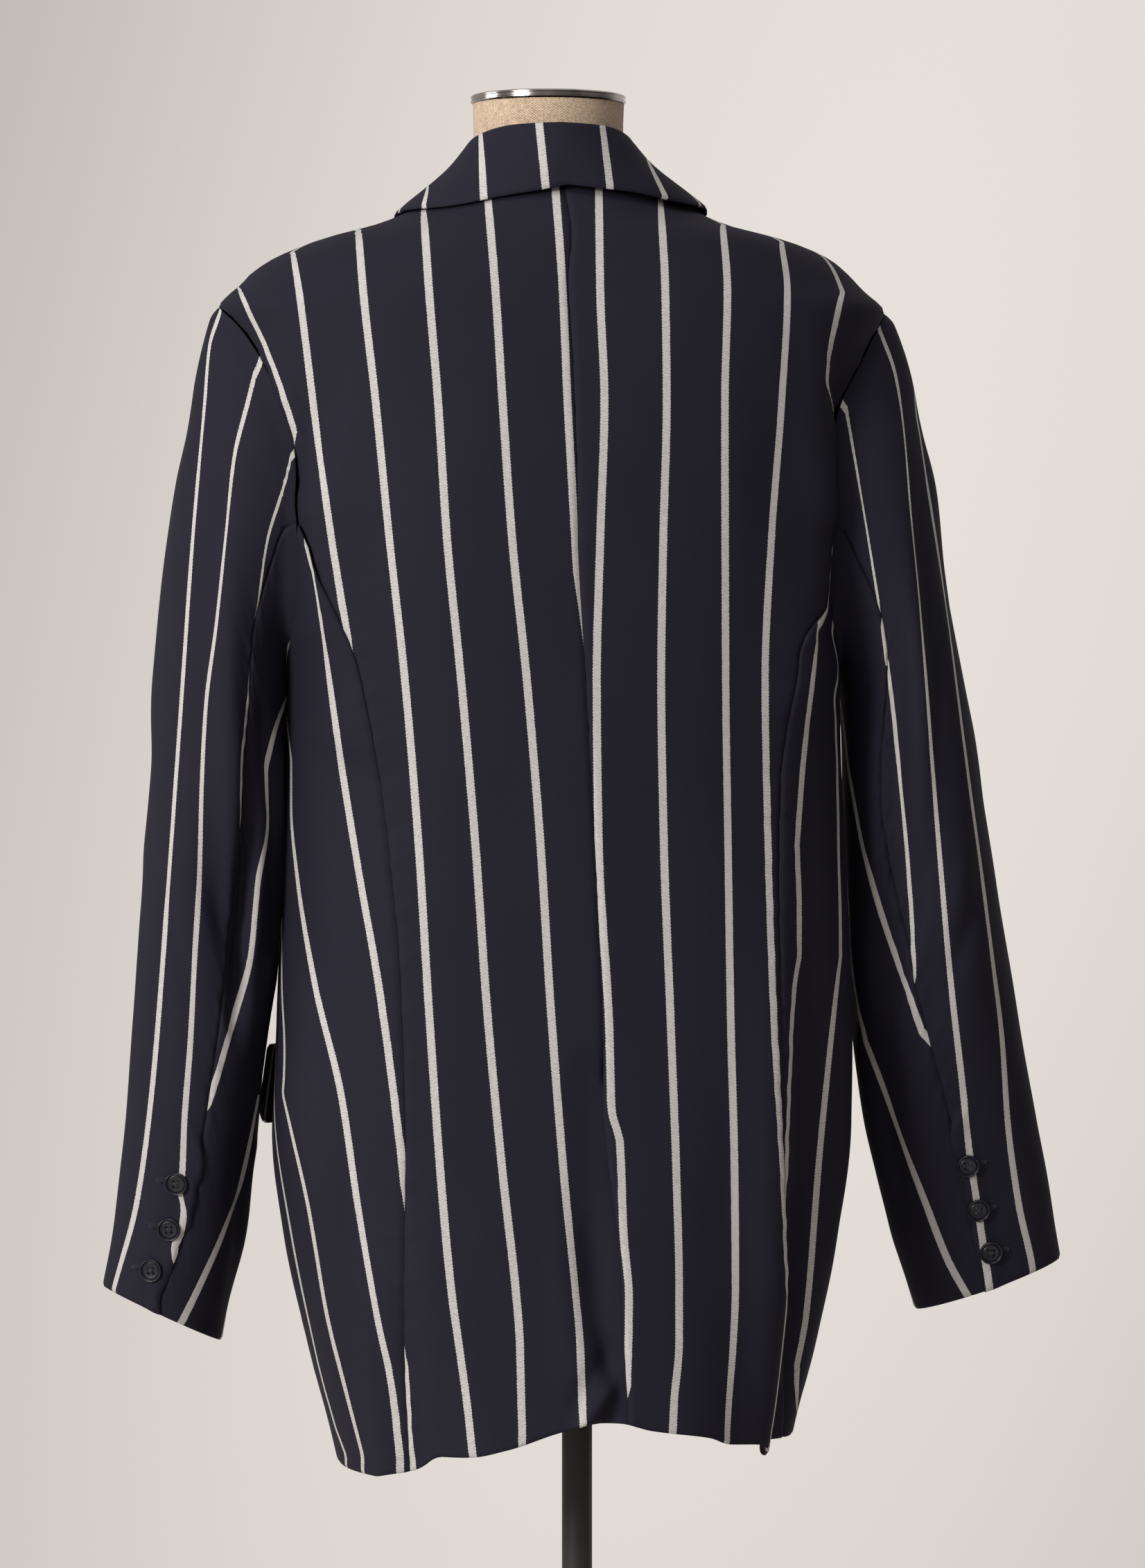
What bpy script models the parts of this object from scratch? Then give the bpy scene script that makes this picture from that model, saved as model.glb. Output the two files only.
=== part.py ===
"""A striped blazer worn by a limbless dress form on a pole.

Metres, +Z up, the floor at Z = 0 and the pole's axis at X = Y = 0. The blazer's back faces +Y, its
front faces -Y and the wearer's left is +X. Every cloth piece is a thin wall through rings that are
worked out from the tables below, so the garment is hollow and open at neck, cuffs, vent and hem.
"""
import bmesh
import bpy
import numpy as np
from math import cos, pi, radians, sin

WALL = 0.0020            # cloth with its lining and seams, as one wall
SEAM_GAP = 0.0003        # between two pieces that are sewn together
LIFT = 0.0004            # under a piece that lies on another one
OVERLAP_DROP = WALL + 2 * LIFT

NECK_POINT_Z = 1.4400    # neckline at the side of the neck
NECK_BACK_Z = 1.4405     # neckline at the centre back
TIP_Z = 1.3590           # shoulder tip, top of the armhole
UNDERARM_Z = 1.132       # foot of the armhole
SEAM_TO_ARMHOLE_Z = 1.212
SHOULDER_ANGLE = 96.0    # shoulder seam, degrees from the centre back
ARMHOLE_MIDDLE = 90.0
ARMHOLE_BACK = 21.0      # how far the armhole reaches to the back, degrees
ARMHOLE_FRONT = 25.0
SIDE_FRONT_ANGLE = 103.0
NECK_CENTRE = (0.0195, 0.008)
COLLAR_LEAN = 0.0035     # the fall's edge sits this much further to the wearer's right
BUTTON_Z = 1.020
FRONT_LAP = 0.022        # how far each front passes the centre front
VENT_TOP_Z = 0.872
VENT_LAP = 0.034

CUFF_BUTTON_RADIUS = 0.0075
FRONT_BUTTON_RADIUS = 0.0100
ROLL_RADIUS = 0.0036     # of the fold at the collar's top
FLAP_HEIGHT = 0.052
FLAP_LOW_Z = {1: 0.836, -1: 0.850}

NECK_RADIUS = 0.0485
FORM_TOP_Z = 1.4995
FORM_FOOT_Z = 0.775
REST_GAP = 0.0016        # between the cloth's inner side and the form at the shoulders
FORM_LEAN = 0.74         # the form's share of the blazer's own place beside the pole
FORM_SQUARE = 2.2        # power of the form's oval rings
POLE_RADIUS = 0.0097
BASE_RADIUS = 0.165
BASE_HEIGHT = 0.012

CLOTH = ((0.020, 0.022, 0.034), 0.78, 0.0)
BUTTON_FINISH = ((0.012, 0.013, 0.022), 0.35, 0.0)
LINEN = ((0.52, 0.38, 0.25), 0.90, 0.0)
CHROME = ((0.62, 0.61, 0.60), 0.18, 1.0)
BLACK_METAL = ((0.030, 0.029, 0.028), 0.38, 0.6)


class Table:
    """A short table of named columns, read at any height along a smooth curve."""

    def __init__(self, columns, rows):
        self.names = columns.split()
        data = np.array(sorted(rows), float)
        self.keys = data[:, 0]
        self.values = data
        step = np.diff(self.keys)[:, None]
        slope = np.diff(data, axis=0) / step
        tangent = np.zeros_like(data)
        same_way = slope[:-1] * slope[1:] > 0
        mean = 2 * slope[:-1] * slope[1:] / np.where(same_way, slope[:-1] + slope[1:], 1)
        tangent[1:-1] = np.where(same_way, mean, 0)
        tangent[0] = slope[0]
        tangent[-1] = slope[-1]
        self.tangent = tangent

    def read(self, name, key):
        column = self.names.index(name)
        key = np.clip(np.asarray(key, float), self.keys[0], self.keys[-1])
        low = np.clip(np.searchsorted(self.keys, key, side="right") - 1, 0, len(self.keys) - 2)
        width = self.keys[low + 1] - self.keys[low]
        t = (key - self.keys[low]) / width
        start = self.values[low, column]
        end = self.values[low + 1, column]
        leave = self.tangent[low, column] * width
        arrive = self.tangent[low + 1, column] * width
        return ((2 * t**3 - 3 * t**2 + 1) * start + (t**3 - 2 * t**2 + t) * leave
                + (3 * t**2 - 2 * t**3) * end + (t**3 - t**2) * arrive)


BODY = Table("height centre half back front square", [
    (0.610, 0.0095, 0.1405, 0.150, 0.152, 2.20),
    (0.642, 0.0097, 0.1480, 0.148, 0.152, 2.25),
    (0.696, 0.0107, 0.1620, 0.142, 0.148, 2.30),
    (0.767, 0.0110, 0.1770, 0.134, 0.142, 2.40),
    (0.838, 0.0100, 0.1855, 0.127, 0.136, 2.50),
    (0.891, 0.0082, 0.1848, 0.122, 0.133, 2.55),
    (0.954, 0.0073, 0.1815, 0.117, 0.130, 2.55),
    (1.030, 0.0064, 0.1770, 0.114, 0.131, 2.50),
    (1.114, 0.0070, 0.1735, 0.117, 0.137, 2.45),
    (1.190, 0.0090, 0.1740, 0.121, 0.133, 2.45),
    (1.250, 0.0105, 0.1800, 0.122, 0.122, 2.45),
    (1.310, 0.0130, 0.1960, 0.117, 0.105, 2.40),
    (1.345, 0.0150, 0.2090, 0.112, 0.093, 2.30),
    (1.359, 0.0160, 0.2143, 0.109, 0.087, 2.25),
    (1.372, 0.0165, 0.2025, 0.106, 0.082, 2.20),
    (1.385, 0.0155, 0.1890, 0.102, 0.077, 2.15),
    (1.392, 0.0145, 0.1790, 0.100, 0.074, 2.10),
    (1.399, 0.0140, 0.1630, 0.098, 0.071, 2.10),
    (1.405, 0.0140, 0.1440, 0.096, 0.069, 2.05),
    (1.412, 0.0145, 0.1170, 0.092, 0.065, 2.00),
    (1.420, 0.0155, 0.0970, 0.087, 0.061, 2.00),
    (1.428, 0.0165, 0.0850, 0.081, 0.057, 2.00),
    (1.441, 0.0175, 0.0745, 0.071, 0.052, 2.00),
    (1.456, 0.0180, 0.0670, 0.062, 0.048, 2.00),
])

SEAMS = Table("height centre_back left right", [
    (0.610, -0.0220, 0.1090, 0.1370),
    (0.660, -0.0205, 0.1100, 0.1350),
    (0.722, -0.0165, 0.1120, 0.1320),
    (0.816, -0.0115, 0.1115, 0.1285),
    (0.888, -0.0098, 0.1146, 0.1260),
    (0.952, -0.0075, 0.1177, 0.1250),
    (0.997, -0.0050, 0.1225, 0.1245),
    (1.057, -0.0015, 0.1295, 0.1268),
    (1.129, 0.0020, 0.1414, 0.1420),
    (1.212, 0.0046, 0.1610, 0.1610),
    (1.300, 0.0035, 0.1700, 0.1700),
    (1.456, 0.0000, 0.1700, 0.1700),
])

HEM = Table("angle height", [
    (-180, 0.632), (-120, 0.628), (-90, 0.640), (-60, 0.639), (-54, 0.631), (-46, 0.640), (-36, 0.642),
    (-30, 0.647), (-15, 0.653), (-6, 0.659), (2, 0.656), (8, 0.652), (20, 0.6415),
    (27, 0.638), (36, 0.640), (43, 0.632), (50, 0.624), (60, 0.620), (100, 0.623), (120, 0.628),
    (180, 0.632),
])

# Edge of the fronts, measured across from the centre front, and the roll line above the break
FRONT_EDGE = Table("height past_centre", [
    (0.610, -0.135), (0.622, -0.118), (0.632, -0.098), (0.650, -0.077), (0.680, -0.058),
    (0.740, -0.034),
    (0.820, -0.010), (0.900, 0.008), (0.980, 0.020), (1.045, FRONT_LAP), (1.150, -0.001),
    (1.250, -0.023), (1.350, -0.046), (1.400, -0.056), (1.430, -0.062), (1.456, -0.067),
])

LAPEL = Table("height width", [
    (1.050, 0.003), (1.075, 0.019), (1.120, 0.038), (1.200, 0.060), (1.280, 0.076),
    (1.330, 0.086), (1.348, 0.088), (1.364, 0.062), (1.373, 0.012), (1.384, 0.006), (1.394, 0.0025),
])

# Largest folds: place round the body in degrees at the lower end, how it moves over its height
FOLDS = [
    # angle, drift, low, high, width, depth
    (-47.0, -3.0, 0.560, 1.040, 6.0, 0.0055),
    (-59.0, -2.0, 0.560, 1.000, 6.5, -0.0120),
    (-70.0, 0.0, 1.130, 1.345, 7.0, -0.0080),
    (-58.0, 0.0, 1.080, 1.330, 8.0, 0.0040),
    (62.0, 4.0, 1.060, 1.300, 8.0, 0.0045),
    (46.0, -2.0, 0.560, 0.760, 5.0, -0.0070),
    (54.0, -2.0, 0.560, 0.800, 5.0, 0.0040),
    (-4.0, 2.0, 0.560, 0.760, 6.0, 0.0030),
    (26.0, -1.0, 0.560, 0.840, 8.0, 0.0035),
    (-27.0, 2.0, 0.560, 0.840, 9.0, 0.0035),
    (118.0, 2.0, 0.560, 0.900, 9.0, 0.0060),
    (-118.0, -2.0, 0.560, 0.900, 9.0, 0.0060),
    (136.0, -2.0, 0.560, 0.860, 8.0, -0.0060),
    (-136.0, 2.0, 0.560, 0.860, 8.0, -0.0060),
]

# The sleeves hang out from the body, each with its own turn: centre and half sizes of a ring
SLEEVE_LEFT = Table("height centre across forward deep", [
    (0.690, 0.2665, 0.0408, -0.055, 0.0475),
    (0.718, 0.2625, 0.0415, -0.052, 0.0475),
    (0.767, 0.2525, 0.0434, -0.044, 0.0490),
    (0.802, 0.2473, 0.0443, -0.038, 0.0510),
    (0.838, 0.2437, 0.0439, -0.032, 0.0530),
    (0.909, 0.2374, 0.0449, -0.022, 0.0570),
    (0.980, 0.2338, 0.0446, -0.014, 0.0600),
    (1.052, 0.2302, 0.0445, -0.010, 0.0640),
    (1.123, 0.2280, 0.0440, -0.007, 0.0660),
    (1.190, 0.2200, 0.0465, -0.005, 0.0690),
    (1.247, 0.2060, 0.0520, -0.004, 0.0690),
    (1.301, 0.1990, 0.0475, -0.003, 0.0560),
    (1.336, 0.2030, 0.0360, -0.002, 0.0380),
    (1.362, 0.2080, 0.0250, 0.000, 0.0240),
])

SLEEVE_RIGHT = Table("height centre across forward deep", [
    (0.700, 0.2830, 0.0480, -0.056, 0.0385),
    (0.731, 0.2775, 0.0495, -0.050, 0.0385),
    (0.767, 0.2672, 0.0530, -0.044, 0.0385),
    (0.802, 0.2577, 0.0555, -0.038, 0.0390),
    (0.838, 0.2485, 0.0562, -0.032, 0.0410),
    (0.909, 0.2355, 0.0540, -0.022, 0.0500),
    (0.980, 0.2274, 0.0495, -0.014, 0.0580),
    (1.052, 0.2198, 0.0450, -0.010, 0.0640),
    (1.123, 0.2122, 0.0405, -0.007, 0.0670),
    (1.190, 0.2010, 0.0385, -0.005, 0.0690),
    (1.247, 0.1860, 0.0450, -0.004, 0.0690),
    (1.301, 0.1770, 0.0412, -0.003, 0.0560),
    (1.336, 0.1780, 0.0335, -0.002, 0.0380),
    (1.362, 0.1800, 0.0250, 0.000, 0.0240),
])

# Cuff height at its middle, how much higher its outer side is, and the back seam's place round it
CUFFS = {1: (0.7143, 0.0178), -1: (0.7290, 0.0170)}
SLEEVE_SEAMS = Table("height left right front", [
    (0.690, 86.0, 90.0, 246.0),
    (0.767, 90.0, 92.0, 246.0),
    (0.838, 94.0, 96.0, 246.0),
    (0.930, 98.0, 106.0, 244.0),
    (1.000, 102.0, 114.0, 242.0),
    (1.070, 106.0, 121.0, 240.0),
    (1.110, 108.0, 126.0, 240.0),
    (1.260, 112.0, 128.0, 238.0),
])
SLEEVE_FOLDS = {
    1: [(100.0, 0.36, 0.66, 20.0, -0.0060), (60.0, 0.40, 0.70, 22.0, 0.0040),
        (140.0, 0.52, 0.95, 18.0, -0.0040), (20.0, 0.10, 0.50, 24.0, -0.0025)],
    -1: [(112.0, 0.30, 0.62, 20.0, -0.0050), (70.0, 0.36, 0.80, 22.0, 0.0040),
         (150.0, 0.50, 0.95, 18.0, -0.0030), (20.0, 0.12, 0.50, 24.0, -0.0025)],
}
CUFF_BUTTONS = {
    1: [(-0.2570, 0.7992), (-0.2614, 0.7698), (-0.2726, 0.7431)],
    -1: [(0.2508, 0.8103), (0.2574, 0.7819), (0.2654, 0.7547)],
}

COLLAR = Table("angle fold_out fold_height edge_out foot_height bulge", [
    (0, 0.0670, 1.4735, 0.0740, 1.4425, 0.0010),
    (30, 0.0640, 1.4725, 0.0800, 1.4430, 0.0010),
    (60, 0.0595, 1.4690, 0.0920, 1.4443, 0.0000),
    (90, 0.0570, 1.4640, 0.0985, 1.4452, -0.0010),
    (112, 0.0630, 1.4570, 0.1050, 1.4440, 0.0010),
    (128, 0.0740, 1.4420, 0.1090, 1.4320, 0.0030),
    (142, 0.0870, 1.4215, 0.1090, 1.4145, 0.0030),
])

# Levels shared by panels that meet at a seam, so that both walls have the same corners there
LOWER_LEVELS = [0.640, 0.675, 0.715, 0.760, 0.805, 0.842, 0.872, 0.895, 0.935, 0.985, 1.035, 1.085,
                1.135, 1.175, SEAM_TO_ARMHOLE_Z]
UPPER_LEVELS = [1.245, 1.285, 1.320, 1.345, TIP_Z, 1.375, 1.389, 1.400, 1.410, 1.420, 1.431]
SIDE_COLUMNS = 5

FORM = Table("height half back front", [
    (0.775, 0.120, 0.080, 0.078),
    (0.780, 0.136, 0.090, 0.088),
    (0.795, 0.148, 0.099, 0.096),
    (0.850, 0.158, 0.107, 0.101),
    (0.910, 0.152, 0.100, 0.099),
    (0.960, 0.134, 0.087, 0.091),
    (1.000, 0.122, 0.080, 0.087),
    (1.060, 0.127, 0.083, 0.098),
    (1.120, 0.141, 0.091, 0.116),
    (1.170, 0.150, 0.098, 0.124),
    (1.220, 0.154, 0.104, 0.115),
    (1.280, 0.165, 0.106, 0.096),
    (1.330, 0.182, 0.104, 0.081),
    (1.360, 0.186, 0.100, 0.074),
    (1.385, 0.176, 0.096, 0.068),
])

CAMERA_TURN = radians(7.0)


def smooth(low, high, value):
    """Runs from 0 to 1 between low and high, level at both ends."""
    t = np.clip((np.asarray(value, float) - low) / (high - low), 0, 1)
    return t * t * (3 - 2 * t)


def body_radius(angle, height):
    """Distance of the cloth's outer face from the pole's axis line, for an angle in degrees."""
    turn = np.radians(angle)
    half = BODY.read("half", height)
    back = BODY.read("back", height)
    front = BODY.read("front", height)
    power = BODY.read("square", height)
    deep = np.where(np.cos(turn) > 0, back, front)
    across = (np.abs(np.sin(turn)) / half) ** power
    along = (np.abs(np.cos(turn)) / deep) ** power
    radius = (across + along) ** (-1 / power)
    for place, drift, low, high, width, depth in FOLDS:
        middle = place + drift * (height - low) / (high - low)
        reach = 1 - smooth(high - 0.45 * (high - low), high, height)
        reach = reach * smooth(low, low + 0.12 * (high - low), height)
        radius = radius + depth * reach * np.exp(-(((angle - middle) / width) ** 2))
    return radius


def body_point(angle, height):
    turn = np.radians(angle)
    radius = body_radius(angle, height)
    centre = BODY.read("centre", height)
    return np.stack([centre + radius * np.sin(turn), radius * np.cos(turn), height + 0 * turn], -1)


def unit(vectors):
    return vectors / np.maximum(np.linalg.norm(vectors, axis=-1, keepdims=True), 1e-12)


def body_normal(angle, height):
    along = body_point(angle + 0.8, height) - body_point(angle - 0.8, height)
    up = body_point(angle, height + 0.0015) - body_point(angle, height - 0.0015)
    return unit(np.cross(up, along))


def angle_at(across, height, front=False):
    """The angle in degrees where the body lies this far to the wearer's left of its centre."""
    result = []
    for value, level in zip(np.ravel(across), np.ravel(height)):
        angles = np.linspace(-88, 88, 353)
        places = angles + 0.0
        if front:
            places = 180 - angles
        offset = body_point(places, np.full_like(places, level))[:, 0] - BODY.read("centre", level)
        result.append(np.interp(value, offset, places))
    return np.array(result).reshape(np.shape(across))


def armhole_angle(height, toward_back):
    """Where the armhole's edge is at a height, in degrees from the centre back."""
    middle = (TIP_Z + UNDERARM_Z) / 2
    rise = np.clip((height - middle) / (TIP_Z - middle), -1, 1)
    bulge = np.sqrt(1 - rise**2) * (1 - 0.18 * rise)
    if toward_back:
        return ARMHOLE_MIDDLE - ARMHOLE_BACK * bulge
    return ARMHOLE_MIDDLE + ARMHOLE_FRONT * bulge


def armhole_point(turn):
    """The armhole at a turn round the sleeve: 0 at the tip, 90 at the back, 180 under the arm."""
    middle = (TIP_Z + UNDERARM_Z) / 2
    rise = np.cos(np.radians(turn))
    height = middle + (TIP_Z - middle) * rise
    bulge = np.sin(np.radians(turn)) * (1 - 0.18 * rise)
    reach = np.where(bulge > 0, ARMHOLE_BACK, ARMHOLE_FRONT)
    return ARMHOLE_MIDDLE - reach * bulge, height


def back_outer_angle(height, side):
    """The back panel's outer edge: side-back seam, then armhole, then shoulder seam."""
    seam = np.abs(angle_at(side * SEAMS.read("left" if side > 0 else "right", height), height))
    arm = armhole_angle(height, True)
    join = armhole_angle(np.array(SEAM_TO_ARMHOLE_Z), True)
    low = seam + (join - seam) * smooth(SEAM_TO_ARMHOLE_Z - 0.05, SEAM_TO_ARMHOLE_Z, height)
    edge = np.where(height < SEAM_TO_ARMHOLE_Z, low, arm)
    shoulder = ARMHOLE_MIDDLE + (SHOULDER_ANGLE - ARMHOLE_MIDDLE) * smooth(TIP_Z, 1.40, height)
    return np.where(height >= TIP_Z, shoulder, edge)


def neckline(angle):
    """Height of the neck seam at an angle from the centre back."""
    rise = np.sin(np.radians(np.clip(np.abs(angle), 0, 90))) ** 2
    return NECK_BACK_Z + (NECK_POINT_Z - NECK_BACK_Z) * rise


def to_cloth(points, normals, name):
    """Makes a closed wall from a grid of outer points, trimmed for the seams at its edges."""
    points = np.array(points, float)
    trim = SEAM_GAP / 2
    first = points.copy()
    points[:, 0] += trim * unit(first[:, 1] - first[:, 0])
    points[:, -1] += trim * unit(first[:, -2] - first[:, -1])
    points[0] += trim * unit(first[1] - first[0])
    points[-1] += trim * unit(first[-2] - first[-1])
    inner = points - normals * WALL
    rows, columns = points.shape[:2]
    count = rows * columns
    mesh_points = np.concatenate([points.reshape(-1, 3), inner.reshape(-1, 3)])
    index = np.arange(count).reshape(rows, columns)
    faces = []
    for row in range(rows - 1):
        for column in range(columns - 1):
            corners = [index[row, column], index[row, column + 1],
                       index[row + 1, column + 1], index[row + 1, column]]
            faces.append(corners)
            faces.append([corner + count for corner in reversed(corners)])
    border = list(index[0, :-1]) + list(index[:-1, -1])
    border = border + list(index[-1, :0:-1]) + list(index[:0:-1, 0])
    for start, end in zip(border, border[1:] + border[:1]):
        faces.append([end, start, start + count, end + count])
    return add_mesh(name, mesh_points, faces, ("navy cloth", CLOTH))


def add_mesh(name, points, faces, finish, smooth_angle=40.0):
    mesh = bpy.data.meshes.new(name)
    mesh.from_pydata([tuple(map(float, point)) for point in points], [],
                     [tuple(map(int, face)) for face in faces])
    work = bmesh.new()
    work.from_mesh(mesh)
    bmesh.ops.triangulate(work, faces=[face for face in work.faces if len(face.verts) == 4])
    if work.calc_volume(signed=True) < 0:
        bmesh.ops.reverse_faces(work, faces=work.faces)
    work.to_mesh(mesh)
    work.free()
    mesh.shade_smooth()
    mesh.set_sharp_from_angle(angle=radians(smooth_angle))
    mesh.materials.append(material(*finish))
    thing = bpy.data.objects.new(name, mesh)
    bpy.context.collection.objects.link(thing)
    return thing


def material(name, values):
    found = bpy.data.materials.get(name)
    if found:
        return found
    made = bpy.data.materials.new(name)
    made.use_nodes = True
    shader = made.node_tree.nodes["Principled BSDF"]
    color, rough, metal = values
    shader.inputs["Base Color"].default_value = (*color, 1)
    shader.inputs["Roughness"].default_value = rough
    shader.inputs["Metallic"].default_value = metal
    made.diffuse_color = (*color, 1)
    return made


def turned(profile, segments, centre=(0, 0)):
    """Points and faces of a solid turned about an upright line, from radius and height pairs."""
    points = [(centre[0], centre[1], profile[0][1])]
    for radius, height in profile:
        for step in range(segments):
            turn = 2 * pi * step / segments
            points.append((centre[0] + radius * cos(turn), centre[1] + radius * sin(turn), height))
    points.append((centre[0], centre[1], profile[-1][1]))
    return points, ring_faces(len(profile), segments)


def ring_faces(rings, segments):
    """Faces of a closed body of rings, with its first and last point on the axis."""
    faces = []
    last = rings * segments + 1
    for step in range(segments):
        beside = (step + 1) % segments
        faces.append((0, 1 + beside, 1 + step))
        for ring in range(rings - 1):
            start = 1 + ring * segments
            above = start + segments
            faces.append((start + step, start + beside, above + beside, above + step))
        start = 1 + (rings - 1) * segments
        faces.append((start + step, start + beside, last))
    return faces


def hem_shift(angle, level):
    """How far a level follows the hem's rise and fall."""
    return (HEM.read("height", angle) - LOWER_LEVELS[0]) * (1 - smooth(LOWER_LEVELS[0], 0.85, level))


def armhole_shift(top_angle, level):
    """How far the side panel's levels dip to the armhole's foot, for a column's topmost angle."""
    dip = armhole_foot(top_angle) - SEAM_TO_ARMHOLE_Z
    return dip * (np.clip((level - 0.98) / (SEAM_TO_ARMHOLE_Z - 0.98), 0, 1)) ** 2


def panel(name, inner_edge, outer_edge, shift, columns, rows, drop=None):
    """A body panel between two edges, given as angles at a level, with its levels shifted."""
    levels = np.array(rows)
    share = np.linspace(0, 1, columns + 1)
    low_edge = inner_edge(levels)
    high_edge = outer_edge(levels)
    angle = low_edge[:, None] + (high_edge - low_edge)[:, None] * share[None, :]
    level = np.repeat(levels[:, None], columns + 1, 1)
    height = level + hem_shift(angle, level) + shift(angle[-1][None, :], level)
    points = body_point(angle, height)
    normals = body_normal(angle, height)
    if drop is not None:
        points = points - normals * drop(points, angle, height)[..., None]
    return to_cloth(points, normals, name)


def back_panel(side):
    name = "back_left" if side > 0 else "back_right"
    rows = LOWER_LEVELS + UPPER_LEVELS + [1.440]

    def inner_edge(height):
        seam = angle_at(SEAMS.read("centre_back", height), height)
        if side > 0:
            lap = VENT_LAP * (1 - smooth(VENT_TOP_Z - 0.03, VENT_TOP_Z, height))
            return angle_at(SEAMS.read("centre_back", height) - lap, height)
        return seam

    def outer_edge(height):
        return side * back_outer_angle(height, side)

    def drop(points, angle, height):
        """The left back slides under the right one below the top of the vent."""
        across = points[..., 0] - BODY.read("centre", height) - SEAMS.read("centre_back", height)
        near = 1 - smooth(0.006, 0.030, across)
        return OVERLAP_DROP * near * (1 - smooth(VENT_TOP_Z, VENT_TOP_Z + 0.022, height))

    def shift(top_angle, level):
        """The last levels run up to the neck seam."""
        share = np.clip((level - 1.400) / (rows[-1] - 1.400), 0, 1)
        return (neckline(top_angle) - rows[-1]) * share**2

    return panel(name, inner_edge, outer_edge, shift, 9, rows, drop if side > 0 else None)


def armhole_foot(angle):
    """Height of the armhole's lower half at an angle from the centre back."""
    turns = np.linspace(0, 360, 3601)
    places, heights = armhole_point(turns)
    lower = heights <= SEAM_TO_ARMHOLE_Z + 0.0001
    order = np.argsort(places[lower])
    return np.interp(np.abs(angle), places[lower][order], heights[lower][order])


def side_panel(side):
    name = "side_left" if side > 0 else "side_right"

    def inner_edge(level):
        return side * back_outer_angle(level, side)

    def outer_edge(level):
        return side * (SIDE_FRONT_ANGLE + 0 * level)

    return panel(name, inner_edge, outer_edge, armhole_shift, SIDE_COLUMNS, LOWER_LEVELS)


def front_panel(side):
    """A front, from the side-front seam to its edge. The wearer's right front lies on the left."""
    name = "front_left" if side > 0 else "front_right"
    join = float(armhole_foot(SIDE_FRONT_ANGLE))
    low = np.array(LOWER_LEVELS)
    beside = low + armhole_shift(SIDE_FRONT_ANGLE, low)
    rows = list(beside) + [1.175, SEAM_TO_ARMHOLE_Z] + UPPER_LEVELS + [1.4385]

    def inner_edge(level):
        arm = armhole_angle(level, False)
        edge = np.where(level < join + 1e-6, SIDE_FRONT_ANGLE, arm)
        top = ARMHOLE_MIDDLE + (SHOULDER_ANGLE - ARMHOLE_MIDDLE) * smooth(TIP_Z, 1.40, level)
        return side * np.where(level >= TIP_Z, top, edge)

    def outer_edge(level):
        across = -side * FRONT_EDGE.read("past_centre", level)
        return angle_at(across, level, front=True) - (0 if side > 0 else 360)

    def drop(points, angle, height):
        """The left front slides under the right one."""
        across = points[..., 0] - BODY.read("centre", height)
        near = 1 - smooth(FRONT_LAP + 0.004, FRONT_LAP + 0.030, across)
        return OVERLAP_DROP * near * (1 - smooth(1.16, 1.22, height))

    def shift(top_angle, level):
        return 0 * level

    return panel(name, inner_edge, outer_edge, shift, 8, rows, drop if side > 0 else None)


def lapel(side):
    """A lapel on its front. The left one stops beside the right front's edge."""
    name = "lapel_left" if side > 0 else "lapel_right"
    rows = np.array([1.052, 1.075, 1.105, 1.140, 1.180, 1.220, 1.260, 1.300, 1.330,
                     1.348, 1.364, 1.373, 1.384, 1.394])
    if side > 0:
        rows[:3] = (1.103, 1.112, 1.124)
    share = np.linspace(0, 1, 6)
    edge = -FRONT_EDGE.read("past_centre", rows)
    far = edge + LAPEL.read("width", rows)
    if side > 0:
        edge = np.maximum(edge, 0.0015 - edge)
    across = edge[:, None] + (far - edge)[:, None] * share[None, :]
    slant = 0.010 * smooth(1.33, 1.364, rows) * (1 - smooth(1.364, 1.375, rows))
    height = rows[:, None] - slant[:, None] * share[None, :]
    angle = side * angle_at(across, height, front=True)
    points = body_point(angle, height)
    normals = body_normal(angle, height)
    roll = 0.0030 * (1 - smooth(0, 0.5, share))[None, :] * smooth(1.10, 1.16, rows)[:, None]
    points = points + normals * (WALL + 2 * LIFT + roll + 0.0006)[..., None]
    return to_cloth(points, normals, name)


def flap(side):
    name = "flap_left" if side > 0 else "flap_right"
    low = FLAP_LOW_Z[side]
    share = np.linspace(0, 1, 9)
    levels = np.linspace(0, 1, 5)
    angle = side * (98.0 + 42.0 * share)[None, :] + 0 * levels[:, None]
    corner = 0.012 * (np.abs(2 * share - 1) ** 8)[None, :]
    height = low + FLAP_HEIGHT * levels[:, None] + corner * (1 - levels)[:, None]
    points = body_point(angle, height)
    normals = body_normal(angle, height)
    stand = WALL + LIFT + 0.0034 * (1 - levels)[:, None] + 0 * share[None, :]
    points = points + normals * stand[..., None]
    return to_cloth(points, normals, name)


def collar():
    """One strip: the stand rises from the neck seam, rolls over and falls to its outer edge."""
    half_turns = np.array([0, 18, 36, 54, 70, 84, 97, 109, 120, 131, 142.0])
    turns = np.concatenate([-half_turns[:0:-1], half_turns])
    sections = []
    for turn in turns:
        sections.append(collar_section(turn))
    outer = np.array([section[0] for section in sections])
    inner = np.array([section[1] for section in sections])
    normals = (outer - inner) / WALL
    return to_cloth(outer, normals, "collar")


def dome_height(x, y):
    """Height of the shoulders' outer face above a place beside the neck."""
    levels = np.linspace(1.300, 1.455, 156)
    centre = BODY.read("centre", levels)
    angle = np.degrees(np.arctan2(x - centre, y))
    radius = body_radius(angle, levels)
    reach = np.hypot(x - centre, y)
    return float(np.interp(0, reach - radius, levels))


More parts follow.
